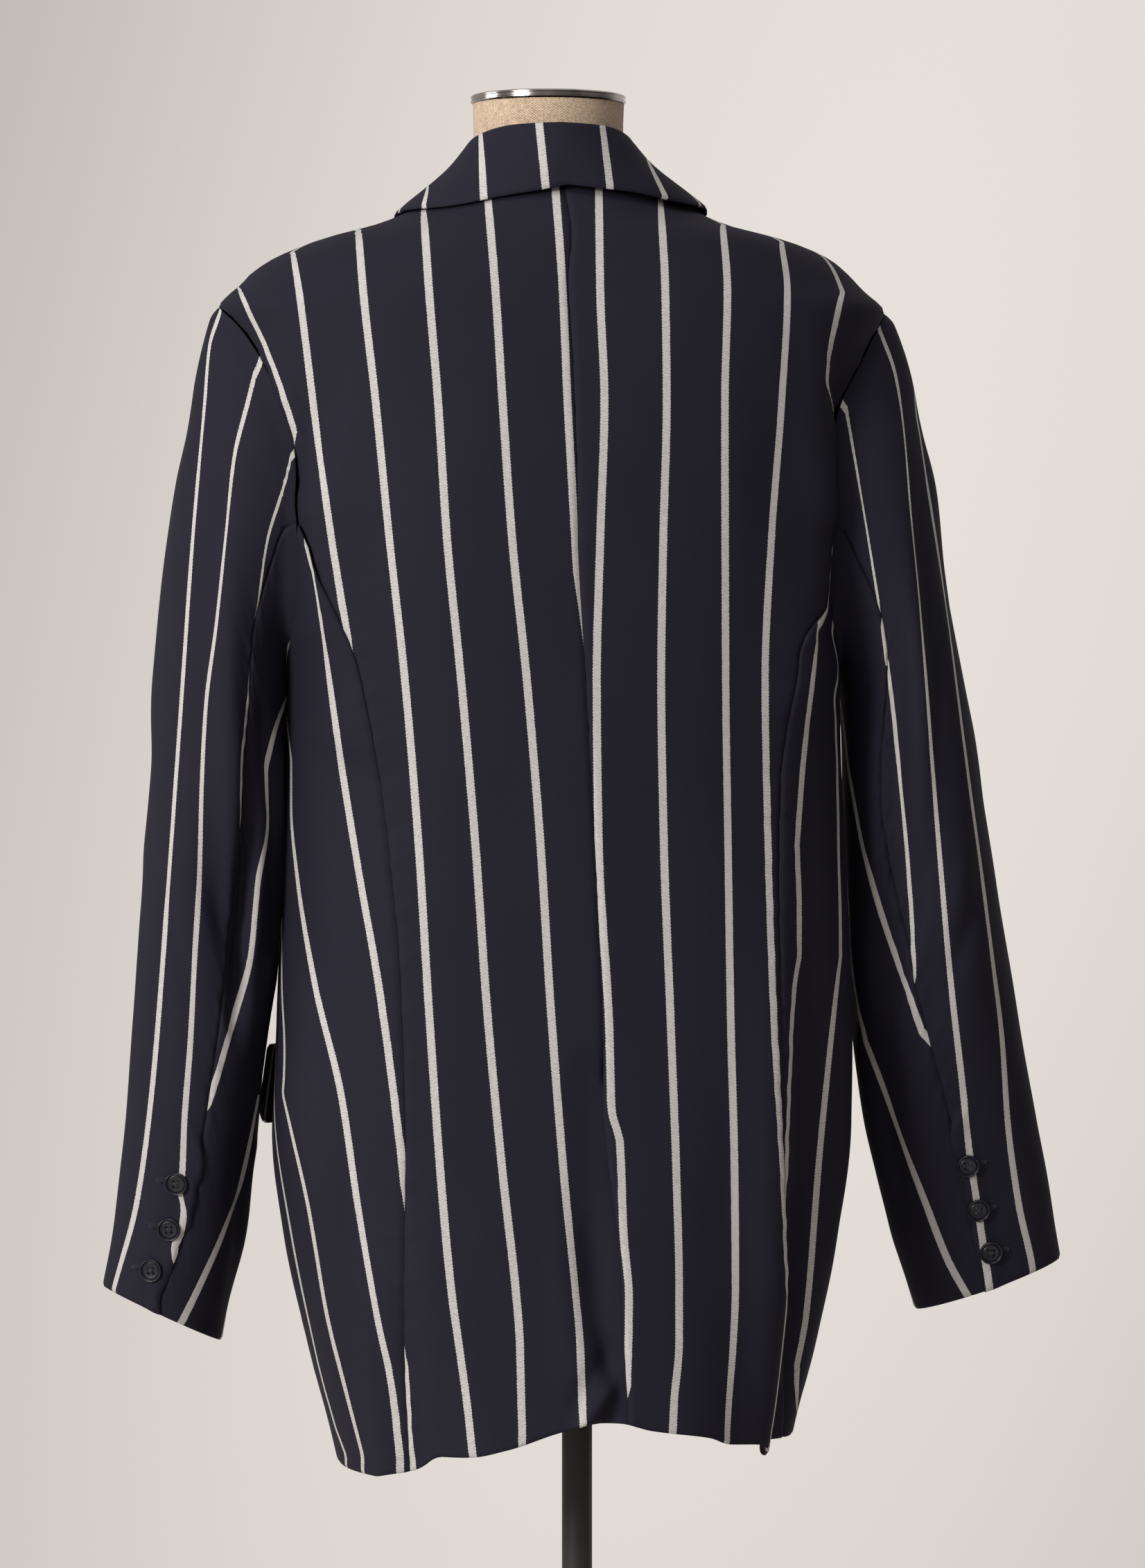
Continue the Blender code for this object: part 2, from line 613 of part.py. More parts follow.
def collar_section(turn):
    """Outer and inner points across the collar at an angle round the neck, from stand to edge."""
    side = abs(turn)
    fold_out = COLLAR.read("fold_out", side)
    fold_height = COLLAR.read("fold_height", side)
    edge_out = COLLAR.read("edge_out", side)
    out = np.array([sin(radians(turn)), cos(radians(turn))])
    edge = np.array(NECK_CENTRE) - (COLLAR_LEAN, 0) + out * edge_out
    edge_height = dome_height(*edge) + LIFT + 0.0010 + 0.0030 * smooth(90, 130, side)
    roll = ROLL_RADIUS
    stand_foot = COLLAR.read("foot_height", side)
    fall_slope = unit(np.array([edge_out - fold_out, edge_height - fold_height + roll]))
    fall_normal = np.array([-fall_slope[1], fall_slope[0]])
    shape = []
    stand_out = fold_out - 2 * roll
    foot_out = stand_out + 0.0008
    for part in (0.0, 0.5):
        height = stand_foot + (fold_height - roll - stand_foot) * part
        shape.append(((foot_out + (stand_out - foot_out) * part, height), (-1.0, 0.0)))
    for bend in (170, 125, 85, 50):
        direction = np.array([cos(radians(bend)), sin(radians(bend))])
        middle = np.array([fold_out - roll, fold_height - roll])
        shape.append((tuple(middle + direction * roll), tuple(direction)))
    start = np.array([fold_out - roll, fold_height - roll]) + fall_normal * roll
    end = np.array([edge_out, edge_height]) + fall_normal * WALL
    for part in (0.12, 0.4, 0.7, 1.0):
        bulge = COLLAR.read("bulge", side) * sin(pi * part)
        shape.append((tuple(start + (end - start) * part + fall_normal * bulge), tuple(fall_normal)))
    outer = []
    inner = []
    for (distance, height), (nx, nz) in shape:
        lean = COLLAR_LEAN * np.clip((distance - fold_out) / (edge_out - fold_out), 0, 1)
        place = np.array(NECK_CENTRE) - (lean, 0) + out * distance
        normal = np.array([out[0] * nx, out[1] * nx, nz])
        point = np.array([place[0], place[1], height])
        outer.append(point)
        inner.append(point - normal * WALL)
    return outer, inner


def sleeve_point(side, turn, part):
    """The sleeve's outer face: turn in degrees from its outer side, part from armhole to cuff."""
    table = SLEEVE_LEFT if side > 0 else SLEEVE_RIGHT
    hole_angle, hole_height = armhole_point(turn)
    hole = body_point(side * hole_angle, hole_height)
    hole = hole + body_normal(side * hole_angle, hole_height) * SEAM_GAP
    cuff_height, cuff_rise = CUFFS[side]
    around = np.radians(turn)
    foot = cuff_height + cuff_rise * np.cos(around)
    height = hole_height + (foot - hole_height) * part
    across = table.read("across", height)
    deep = table.read("deep", height)
    for place, low, high, width, depth in SLEEVE_FOLDS[side]:
        apart = (turn - place + 180) % 360 - 180
        reach = smooth(low, (low + high) / 2, part) * (1 - smooth((low + high) / 2, high, part))
        change = 1 + depth / 0.05 * reach * np.exp(-((apart / width) ** 2))
        across = across * change
        deep = deep * change
    x = side * (table.read("centre", height) + across * np.cos(around))
    y = table.read("forward", height) + deep * np.sin(around)
    centre = BODY.read("centre", height)
    angle = np.degrees(np.arctan2(x - centre, y))
    distance = np.hypot(x - centre, y)
    clear = 0.0005 + 0.0012 * smooth(0, 0.10, part) + flap_room(side, angle, height)
    least = body_radius(angle, height) + clear
    softer = distance + 0.5 * ((least - distance) + np.sqrt((least - distance) ** 2 + 0.0008**2))
    distance = np.where(np.cos(around) < 0.35, softer, distance)
    ring = np.stack([centre + distance * np.sin(np.radians(angle)),
                     distance * np.cos(np.radians(angle)), height], -1)
    joined = 1 - (1 - np.clip(part / 0.12, 0, 1)) ** 2
    return hole + (ring - hole) * joined[..., None]


def flap_room(side, angle, height):
    """Room that the sleeve leaves for the pocket flap beside it."""
    low = FLAP_LOW_Z[side]
    high = low + FLAP_HEIGHT
    beside = smooth(low - 0.05, low - 0.005, height) * (1 - smooth(high + 0.005, high + 0.05, height))
    return 0.0068 * beside * smooth(84, 95, np.abs(angle))


def sleeve_normal(side, turn, part):
    round_it = sleeve_point(side, turn + 1.0, part) - sleeve_point(side, turn - 1.0, part)
    down = sleeve_point(side, turn, np.clip(part + 0.004, 0, 1))
    down = down - sleeve_point(side, turn, np.clip(part - 0.004, 0, 1))
    return unit(np.cross(down, round_it) * side)


def sleeve_piece(side, upper):
    """The top sleeve runs over the outer side, the under sleeve along the inner side."""
    name = ("sleeve_top_" if upper else "sleeve_under_") + ("left" if side > 0 else "right")
    parts = np.array([0, 0.015, 0.04, 0.075, 0.12, 0.17, 0.225, 0.28, 0.335, 0.39, 0.445, 0.50,
                      0.555, 0.61, 0.665, 0.72, 0.775, 0.83, 0.89, 0.945, 1.0])
    first = sleeve_turns(upper)
    back = sleeve_seam(side, parts, "back", first[-1] if upper else first[0])
    front = sleeve_seam(side, parts, "front", first[0] + 360 if upper else first[-1])
    start, end = (front - 360, back) if upper else (back, front)
    share = (first - first[0]) / (first[-1] - first[0])
    turn = start[:, None] + (end - start)[:, None] * share[None, :]
    part = np.repeat(parts[:, None], len(first), 1)
    points = sleeve_point(side, turn, part)
    normals = sleeve_normal(side, turn, part)
    hole_angle, hole_height = armhole_point(turn)
    body = body_normal(side * hole_angle, hole_height)
    share_body = (0.5 + 0.5 * np.cos(np.radians(turn))) ** 0.6 * (1 - smooth(0.0, 0.05, part))
    normals = unit(normals * (1 - share_body)[..., None] + body * share_body[..., None])
    return to_cloth(points, normals, name)


def sleeve_turns(upper):
    """Turns round the armhole where the body panels have their corners."""
    middle = (TIP_Z + UNDERARM_Z) / 2
    levels = np.array([SEAM_TO_ARMHOLE_Z] + UPPER_LEVELS[:4] + [TIP_Z])
    turns = np.degrees(np.arccos(np.clip((levels - middle) / (TIP_Z - middle), -1, 1)))
    if upper:
        return np.concatenate([-turns, turns[-2::-1]])
    join = float(armhole_angle(np.array(SEAM_TO_ARMHOLE_Z), True))
    corners = np.linspace(join, SIDE_FRONT_ANGLE, SIDE_COLUMNS + 1)[1:]
    around = np.linspace(turns[0], 240, 2001)
    places = armhole_point(around)[0]
    side_turns = np.interp(corners, places, around)
    low = np.degrees(np.arccos((1.175 - middle) / (TIP_Z - middle)))
    return np.concatenate([[turns[0]], side_turns, [360 - low, 360 - turns[0]]])


def sleeve_seam(side, parts, which, start):
    """A seam's turn along the sleeve, from where it starts at the armhole."""
    column = "front" if which == "front" else ("left" if side > 0 else "right")
    height = 1.26 + (CUFFS[side][0] - 1.26) * parts
    turn = SLEEVE_SEAMS.read(column, height)
    return start + (turn - start) * smooth(0, 0.25, parts)


def seen_across(point):
    """How far a point is to the right of the pole for someone behind, turned by the view."""
    return -point[..., 0] * cos(CAMERA_TURN) + point[..., 1] * sin(CAMERA_TURN)


def cuff_button(side, number, across, height):
    parts = np.linspace(0.75, 1.0, 101)
    turns = np.linspace(30, 150, 121)
    turn, part = np.meshgrid(turns, parts)
    points = sleeve_point(side, turn, part)
    miss = (seen_across(points) - across) ** 2 + (points[..., 2] - height) ** 2
    best = np.unravel_index(np.argmin(miss), miss.shape)
    normal = sleeve_normal(side, turn[best], part[best])
    name = f"button_cuff_{'left' if side > 0 else 'right'}_{number}"
    return button(name, points[best], normal, CUFF_BUTTON_RADIUS)


def button(name, place, normal, radius):
    """A round button with a raised rim and a dished middle, lying just clear of the cloth."""
    profile = [(radius * 0.62, 0.0), (radius * 0.95, 0.0007), (radius, 0.0016),
               (radius * 0.93, 0.0026), (radius * 0.80, 0.0027), (radius * 0.66, 0.0018)]
    points, faces = turned(profile, 14)
    normal = np.array(normal)
    beside = unit(np.cross(normal, (0, 0, 1)))
    above = np.cross(beside, normal)
    seat = np.array(place) + normal * 0.0009
    placed = [seat + beside * x + above * y + normal * z for x, y, z in points]
    return add_mesh(name, placed, faces, ("navy button", BUTTON_FINISH))


def front_button():
    height = BUTTON_Z
    angle = angle_at(np.array([0.0]), np.array([height]), front=True)
    place = body_point(angle, np.array([height]))[0]
    normal = body_normal(angle, np.array([height]))[0]
    return button("button_front", place, normal, FRONT_BUTTON_RADIUS)


def form_body():
    """The linen-covered torso and neck, one smooth closed body."""
    segments = 36
    angles = np.arange(segments) * 360.0 / segments
    rings = []
    for height in (0.775, 0.780, 0.795, 0.820, 0.860, 0.905, 0.950, 1.000, 1.050, 1.100, 1.145,
                   1.185, 1.230, 1.275, 1.315, 1.340, 1.360):
        rings.append(form_ring(angles, height))
    for height, spare in zip(UPPER_LEVELS[5:10], (0.0045, 0.0020, 0, 0, 0)):
        level = np.full_like(angles, height)
        points = body_point(angles, level)
        rings.append(points - body_normal(angles, level) * (WALL + REST_GAP + spare))
    shoulder = rings[-1]
    for height, radius, share in ((1.427, 0.0500, 0.60), (1.434, 0.0490, 0.88), (1.445, 0.0480, 1),
                                  (1.478, 0.0480, 1), (1.4905, NECK_RADIUS, 1)):
        turn = np.radians(angles)
        neck = np.stack([NECK_CENTRE[0] + radius * np.sin(turn),
                         NECK_CENTRE[1] + radius * np.cos(turn), np.full_like(turn, height)], -1)
        level = shoulder.copy()
        level[:, 2] = height
        rings.append(level + (neck - level) * share)
    rings = np.array(rings)
    foot = [(rings[0][:, 0].mean(), 0.0, FORM_FOOT_Z)]
    top = [(NECK_CENTRE[0], NECK_CENTRE[1], rings[-1][0, 2])]
    points = foot + [tuple(point) for ring in rings for point in ring] + top
    return add_mesh("form_body", points, ring_faces(len(rings), segments), ("linen", LINEN), 60)


def form_ring(angles, height):
    turn = np.radians(angles)
    half = FORM.read("half", height)
    deep = np.where(np.cos(turn) > 0, FORM.read("back", height), FORM.read("front", height))
    across = (np.abs(np.sin(turn)) / half) ** FORM_SQUARE
    along = (np.abs(np.cos(turn)) / deep) ** FORM_SQUARE
    radius = (across + along) ** (-1 / FORM_SQUARE)
    centre = BODY.read("centre", height) * FORM_LEAN
    return np.stack([centre + radius * np.sin(turn), radius * np.cos(turn),
                     np.full_like(turn, height)], -1)


def stand():
    cap = [(0.046, 1.4908), (NECK_RADIUS + 0.0006, 1.4908), (NECK_RADIUS + 0.0012, 1.4925),
           (NECK_RADIUS + 0.0012, 1.4980), (NECK_RADIUS + 0.0002, FORM_TOP_Z), (0.0450, FORM_TOP_Z),
           (0.0440, 1.4975)]
    pole = [(POLE_RADIUS, BASE_HEIGHT + 0.0053), (POLE_RADIUS, FORM_FOOT_Z - 0.0003)]
    base = [(BASE_RADIUS - 0.004, 0.0), (BASE_RADIUS, 0.003), (BASE_RADIUS, 0.007),
            (BASE_RADIUS - 0.004, 0.0095), (0.060, BASE_HEIGHT), (0.022, BASE_HEIGHT + 0.001),
            (0.018, BASE_HEIGHT + 0.005)]
    add_mesh("neck_cap", *turned(cap, 36, NECK_CENTRE), ("chrome", CHROME))
    add_mesh("pole", *turned(pole, 20), ("black metal", BLACK_METAL))
    add_mesh("base", *turned(base, 48), ("black metal", BLACK_METAL))


def main():
    for thing in list(bpy.data.objects):
        bpy.data.objects.remove(thing, do_unlink=True)
    for side in (1, -1):
        back_panel(side)
        side_panel(side)
        front_panel(side)
        lapel(side)
        flap(side)
        sleeve_piece(side, True)
        sleeve_piece(side, False)
        for number, (across, height) in enumerate(CUFF_BUTTONS[side], 1):
            cuff_button(side, number, across, height)
    collar()
    front_button()
    form_body()
    stand()


main()
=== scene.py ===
"""Looks of a striped navy blazer that a limbless dress form wears.

Laid out as a Blender add-on and run as a script. Every cloth piece is a thin shell, cut on a fine
grid over the same rings as its solid, with its seams, folds and stripes. Metres, +Z up, the back of
the blazer faces +Y and the wearer's left is +X.
"""
from math import cos, pi, radians, sin, tau

import bmesh
import bpy
import numpy as np
from mathutils import Matrix, Vector


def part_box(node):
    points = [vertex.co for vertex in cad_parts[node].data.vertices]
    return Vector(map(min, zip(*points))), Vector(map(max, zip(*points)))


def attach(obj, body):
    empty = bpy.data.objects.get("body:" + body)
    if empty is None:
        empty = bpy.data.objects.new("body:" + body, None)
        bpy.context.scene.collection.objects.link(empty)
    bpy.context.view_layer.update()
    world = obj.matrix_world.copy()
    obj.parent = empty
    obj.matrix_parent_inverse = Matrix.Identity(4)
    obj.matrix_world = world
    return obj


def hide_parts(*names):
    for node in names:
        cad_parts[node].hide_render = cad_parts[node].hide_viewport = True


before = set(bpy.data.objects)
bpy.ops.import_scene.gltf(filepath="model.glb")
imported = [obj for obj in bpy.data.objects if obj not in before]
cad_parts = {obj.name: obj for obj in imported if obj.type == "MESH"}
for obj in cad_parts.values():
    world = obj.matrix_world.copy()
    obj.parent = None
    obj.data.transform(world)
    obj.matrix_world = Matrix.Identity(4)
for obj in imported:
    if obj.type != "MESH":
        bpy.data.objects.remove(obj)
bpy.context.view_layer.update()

bl_info = {
    "name": "Striped blazer on a dress form",
    "version": (1, 0, 0),
    "blender": (4, 5, 0),
    "location": "View3D > Sidebar > Blazer",
    "description": "Builds the cloth, buttons, form and stage of a striped blazer on its solid parts",
    "category": "Object",
}

PHOTO_WIDTH = 1652
PHOTO_HEIGHT = 2263
POLE_COLUMN = 832.5          # where the pole's axis stands in the photo, in pixels
CAMERA_DISTANCE = 4.4
CAMERA_HEIGHT = 1.0553
CAMERA_TURN = radians(7.0)
FRAME_TALL = 1.0070          # what the photo covers at the pole's distance, upwards
TOWARD_CAMERA = np.array([sin(CAMERA_TURN), cos(CAMERA_TURN), 0.0])

NECK_POINT_Z = 1.4400        # neckline at the side of the neck
NECK_BACK_Z = 1.4405         # neckline at the centre back
TIP_Z = 1.3590               # shoulder tip, top of the armhole
UNDERARM_Z = 1.132           # foot of the armhole
SEAM_TO_ARMHOLE_Z = 1.212
SHOULDER_ANGLE = 96.0        # shoulder seam, degrees from the centre back
ARMHOLE_MIDDLE = 90.0
ARMHOLE_BACK = 21.0          # how far the armhole reaches to the back, degrees
ARMHOLE_FRONT = 25.0
SIDE_FRONT_ANGLE = 103.0
NECK_CENTRE = (0.0195, 0.008)
COLLAR_LEAN = 0.0035         # the fall's edge sits this much further to the wearer's right
HEM_LEVEL = 0.640
BUTTON_Z = 1.020
FRONT_LAP = 0.022            # how far each front passes the centre front
VENT_TOP_Z = 0.872
VENT_LAP = 0.034
ROLL_RADIUS = 0.0036         # of the fold at the collar's top
FLAP_HEIGHT = 0.052
FLAP_LOW_Z = {1: 0.836, -1: 0.850}
NECK_RADIUS = 0.0485
REST_GAP = 0.0016            # between the cloth and the form at the shoulders
FORM_LEAN = 0.74
FORM_SQUARE = 2.2
SEAM_GAP = 0.0003            # between two solids that are sewn together
SOLID_WALL = 0.0020
LIFT = 0.0004
OVERLAP_DROP = SOLID_WALL + 2 * LIFT
CUFF_VENT_PART = 0.78        # where the slit at the cuff starts, as a part of the sleeve

class Table:
    """A short table of named columns, read at any height along a smooth curve."""

    def __init__(self, columns, rows):
        self.names = columns.split()
        data = np.array(sorted(rows), float)
        self.keys = data[:, 0]
        self.values = data
        step = np.diff(self.keys)[:, None]
        slope = np.diff(data, axis=0) / step
        tangent = np.zeros_like(data)
        same_way = slope[:-1] * slope[1:] > 0
        mean = 2 * slope[:-1] * slope[1:] / np.where(same_way, slope[:-1] + slope[1:], 1)
        tangent[1:-1] = np.where(same_way, mean, 0)
        tangent[0] = slope[0]
        tangent[-1] = slope[-1]
        self.tangent = tangent

    def read(self, name, key):
        column = self.names.index(name)
        key = np.clip(np.asarray(key, float), self.keys[0], self.keys[-1])
        low = np.clip(np.searchsorted(self.keys, key, side="right") - 1, 0, len(self.keys) - 2)
        width = self.keys[low + 1] - self.keys[low]
        t = (key - self.keys[low]) / width
        start = self.values[low, column]
        end = self.values[low + 1, column]
        leave = self.tangent[low, column] * width
        arrive = self.tangent[low + 1, column] * width
        return ((2 * t**3 - 3 * t**2 + 1) * start + (t**3 - 2 * t**2 + t) * leave
                + (3 * t**2 - 2 * t**3) * end + (t**3 - t**2) * arrive)


BODY = Table("height centre half back front square", [
    (0.610, 0.0095, 0.1405, 0.150, 0.152, 2.20),
    (0.642, 0.0097, 0.1480, 0.148, 0.152, 2.25),
    (0.696, 0.0107, 0.1620, 0.142, 0.148, 2.30),
    (0.767, 0.0110, 0.1770, 0.134, 0.142, 2.40),
    (0.838, 0.0100, 0.1855, 0.127, 0.136, 2.50),
    (0.891, 0.0082, 0.1848, 0.122, 0.133, 2.55),
    (0.954, 0.0073, 0.1815, 0.117, 0.130, 2.55),
    (1.030, 0.0064, 0.1770, 0.114, 0.131, 2.50),
    (1.114, 0.0070, 0.1735, 0.117, 0.137, 2.45),
    (1.190, 0.0090, 0.1740, 0.121, 0.133, 2.45),
    (1.250, 0.0105, 0.1800, 0.122, 0.122, 2.45),
    (1.310, 0.0130, 0.1960, 0.117, 0.105, 2.40),
    (1.345, 0.0150, 0.2090, 0.112, 0.093, 2.30),
    (1.359, 0.0160, 0.2143, 0.109, 0.087, 2.25),
    (1.372, 0.0165, 0.2025, 0.106, 0.082, 2.20),
    (1.385, 0.0155, 0.1890, 0.102, 0.077, 2.15),
    (1.392, 0.0145, 0.1790, 0.100, 0.074, 2.10),
    (1.399, 0.0140, 0.1630, 0.098, 0.071, 2.10),
    (1.405, 0.0140, 0.1440, 0.096, 0.069, 2.05),
    (1.412, 0.0145, 0.1170, 0.092, 0.065, 2.00),
    (1.420, 0.0155, 0.0970, 0.087, 0.061, 2.00),
    (1.428, 0.0165, 0.0850, 0.081, 0.057, 2.00),
    (1.441, 0.0175, 0.0745, 0.071, 0.052, 2.00),
    (1.456, 0.0180, 0.0670, 0.062, 0.048, 2.00),
])

SEAMS = Table("height centre_back left right", [
    (0.610, -0.0220, 0.1090, 0.1370),
    (0.660, -0.0205, 0.1100, 0.1350),
    (0.722, -0.0165, 0.1120, 0.1320),
    (0.816, -0.0115, 0.1115, 0.1285),
    (0.888, -0.0098, 0.1146, 0.1260),
    (0.952, -0.0075, 0.1177, 0.1250),
    (0.997, -0.0050, 0.1225, 0.1245),
    (1.057, -0.0015, 0.1295, 0.1268),
    (1.129, 0.0020, 0.1414, 0.1420),
    (1.212, 0.0046, 0.1610, 0.1610),
    (1.300, 0.0035, 0.1700, 0.1700),
    (1.456, 0.0000, 0.1700, 0.1700),
])

HEM = Table("angle height", [
    (-180, 0.632), (-120, 0.628), (-90, 0.640), (-60, 0.639), (-54, 0.631), (-46, 0.640), (-36, 0.642),
    (-30, 0.647), (-15, 0.653), (-6, 0.659), (2, 0.656), (8, 0.652), (20, 0.6415),
    (27, 0.638), (36, 0.640), (43, 0.632), (50, 0.624), (60, 0.620), (100, 0.623), (120, 0.628),
    (180, 0.632),
])

# Edge of the fronts, measured across from the centre front, and the roll line above the break
FRONT_EDGE = Table("height past_centre", [
    (0.610, -0.135), (0.622, -0.118), (0.632, -0.098), (0.650, -0.077), (0.680, -0.058),
    (0.740, -0.034),
    (0.820, -0.010), (0.900, 0.008), (0.980, 0.020), (1.045, FRONT_LAP), (1.150, -0.001),
    (1.250, -0.023), (1.350, -0.046), (1.400, -0.056), (1.430, -0.062), (1.456, -0.067),
])

LAPEL = Table("height width", [
    (1.050, 0.003), (1.075, 0.019), (1.120, 0.038), (1.200, 0.060), (1.280, 0.076),
    (1.330, 0.086), (1.348, 0.088), (1.364, 0.062), (1.373, 0.012), (1.384, 0.006), (1.394, 0.0025),
])

# Largest folds: place round the body in degrees at the lower end, how it moves over its height
FOLDS = [
    # angle, drift, low, high, width, depth
    (-47.0, -3.0, 0.560, 1.040, 6.0, 0.0055),
    (-59.0, -2.0, 0.560, 1.000, 6.5, -0.0120),
    (-70.0, 0.0, 1.130, 1.345, 7.0, -0.0080),
    (-58.0, 0.0, 1.080, 1.330, 8.0, 0.0040),
    (62.0, 4.0, 1.060, 1.300, 8.0, 0.0045),
    (46.0, -2.0, 0.560, 0.760, 5.0, -0.0070),
    (54.0, -2.0, 0.560, 0.800, 5.0, 0.0040),
    (-4.0, 2.0, 0.560, 0.760, 6.0, 0.0030),
    (26.0, -1.0, 0.560, 0.840, 8.0, 0.0035),
    (-27.0, 2.0, 0.560, 0.840, 9.0, 0.0035),
    (118.0, 2.0, 0.560, 0.900, 9.0, 0.0060),
    (-118.0, -2.0, 0.560, 0.900, 9.0, 0.0060),
    (136.0, -2.0, 0.560, 0.860, 8.0, -0.0060),
    (-136.0, 2.0, 0.560, 0.860, 8.0, -0.0060),
]

# The sleeves hang out from the body, each with its own turn: centre and half sizes of a ring
SLEEVE_LEFT = Table("height centre across forward deep", [
    (0.690, 0.2665, 0.0408, -0.055, 0.0475),
    (0.718, 0.2625, 0.0415, -0.052, 0.0475),
    (0.767, 0.2525, 0.0434, -0.044, 0.0490),
    (0.802, 0.2473, 0.0443, -0.038, 0.0510),
    (0.838, 0.2437, 0.0439, -0.032, 0.0530),
    (0.909, 0.2374, 0.0449, -0.022, 0.0570),
    (0.980, 0.2338, 0.0446, -0.014, 0.0600),
    (1.052, 0.2302, 0.0445, -0.010, 0.0640),
    (1.123, 0.2280, 0.0440, -0.007, 0.0660),
    (1.190, 0.2200, 0.0465, -0.005, 0.0690),
    (1.247, 0.2060, 0.0520, -0.004, 0.0690),
    (1.301, 0.1990, 0.0475, -0.003, 0.0560),
    (1.336, 0.2030, 0.0360, -0.002, 0.0380),
    (1.362, 0.2080, 0.0250, 0.000, 0.0240),
])

SLEEVE_RIGHT = Table("height centre across forward deep", [
    (0.700, 0.2830, 0.0480, -0.056, 0.0385),
    (0.731, 0.2775, 0.0495, -0.050, 0.0385),
    (0.767, 0.2672, 0.0530, -0.044, 0.0385),
    (0.802, 0.2577, 0.0555, -0.038, 0.0390),
    (0.838, 0.2485, 0.0562, -0.032, 0.0410),
    (0.909, 0.2355, 0.0540, -0.022, 0.0500),
    (0.980, 0.2274, 0.0495, -0.014, 0.0580),
    (1.052, 0.2198, 0.0450, -0.010, 0.0640),
    (1.123, 0.2122, 0.0405, -0.007, 0.0670),
    (1.190, 0.2010, 0.0385, -0.005, 0.0690),
    (1.247, 0.1860, 0.0450, -0.004, 0.0690),
    (1.301, 0.1770, 0.0412, -0.003, 0.0560),
    (1.336, 0.1780, 0.0335, -0.002, 0.0380),
    (1.362, 0.1800, 0.0250, 0.000, 0.0240),
])

# Cuff height at its middle, how much higher its outer side is, and the back seam's place round it
CUFFS = {1: (0.7143, 0.0178), -1: (0.7290, 0.0170)}
SLEEVE_SEAMS = Table("height left right front", [
    (0.690, 86.0, 90.0, 246.0),
    (0.767, 90.0, 92.0, 246.0),
    (0.838, 94.0, 96.0, 246.0),
    (0.930, 98.0, 106.0, 244.0),
    (1.000, 102.0, 114.0, 242.0),
    (1.070, 106.0, 121.0, 240.0),
    (1.110, 108.0, 126.0, 240.0),
    (1.260, 112.0, 128.0, 238.0),
])
SLEEVE_FOLDS = {
    1: [(100.0, 0.36, 0.66, 20.0, -0.0060), (60.0, 0.40, 0.70, 22.0, 0.0040),
        (140.0, 0.52, 0.95, 18.0, -0.0040), (20.0, 0.10, 0.50, 24.0, -0.0025)],
    -1: [(112.0, 0.30, 0.62, 20.0, -0.0050), (70.0, 0.36, 0.80, 22.0, 0.0040),
        (150.0, 0.50, 0.95, 18.0, -0.0030), (20.0, 0.12, 0.50, 24.0, -0.0025)],
}
CUFF_BUTTONS = {
    1: [(-0.2570, 0.7992), (-0.2614, 0.7698), (-0.2726, 0.7431)],
    -1: [(0.2508, 0.8103), (0.2574, 0.7819), (0.2654, 0.7547)],
}

COLLAR = Table("angle fold_out fold_height edge_out foot_height bulge", [
    (0, 0.0670, 1.4735, 0.0740, 1.4425, 0.0010),
    (30, 0.0640, 1.4725, 0.0800, 1.4430, 0.0010),
    (60, 0.0595, 1.4690, 0.0920, 1.4443, 0.0000),
    (90, 0.0570, 1.4640, 0.0985, 1.4452, -0.0010),
    (112, 0.0630, 1.4570, 0.1050, 1.4440, 0.0010),
    (128, 0.0740, 1.4420, 0.1090, 1.4320, 0.0030),
    (142, 0.0870, 1.4215, 0.1090, 1.4145, 0.0030),
])

FORM = Table("height half back front", [
    (0.775, 0.120, 0.080, 0.078),
    (0.780, 0.136, 0.090, 0.088),
    (0.795, 0.148, 0.099, 0.096),
    (0.850, 0.158, 0.107, 0.101),
    (0.910, 0.152, 0.100, 0.099),
    (0.960, 0.134, 0.087, 0.091),
    (1.000, 0.122, 0.080, 0.087),
    (1.060, 0.127, 0.083, 0.098),
    (1.120, 0.141, 0.091, 0.116),
    (1.170, 0.150, 0.098, 0.124),
    (1.220, 0.154, 0.104, 0.115),
    (1.280, 0.165, 0.106, 0.096),
    (1.330, 0.182, 0.104, 0.081),
    (1.360, 0.186, 0.100, 0.074),
    (1.385, 0.176, 0.096, 0.068),
])

def smooth(low, high, value):
    """Runs from 0 to 1 between low and high, level at both ends."""
    t = np.clip((np.asarray(value, float) - low) / (high - low), 0, 1)
    return t * t * (3 - 2 * t)


def body_radius(angle, height):
    """Distance of the cloth's outer face from the pole's axis line, for an angle in degrees."""
    turn = np.radians(angle)
    half = BODY.read("half", height)
    back = BODY.read("back", height)
    front = BODY.read("front", height)
    power = BODY.read("square", height)
    deep = np.where(np.cos(turn) > 0, back, front)
    across = (np.abs(np.sin(turn)) / half) ** power
    along = (np.abs(np.cos(turn)) / deep) ** power
    radius = (across + along) ** (-1 / power)
    for place, drift, low, high, width, depth in FOLDS:
        middle = place + drift * (height - low) / (high - low)
        reach = 1 - smooth(high - 0.45 * (high - low), high, height)
        reach = reach * smooth(low, low + 0.12 * (high - low), height)
        radius = radius + depth * reach * np.exp(-(((angle - middle) / width) ** 2))
    return radius


def body_point(angle, height):
    turn = np.radians(angle)
    radius = body_radius(angle, height)
    centre = BODY.read("centre", height)
    return np.stack([centre + radius * np.sin(turn), radius * np.cos(turn), height + 0 * turn], -1)


def unit(vectors):
    return vectors / np.maximum(np.linalg.norm(vectors, axis=-1, keepdims=True), 1e-12)


def body_normal(angle, height):
    along = body_point(angle + 0.8, height) - body_point(angle - 0.8, height)
    up = body_point(angle, height + 0.0015) - body_point(angle, height - 0.0015)
    return unit(np.cross(up, along))


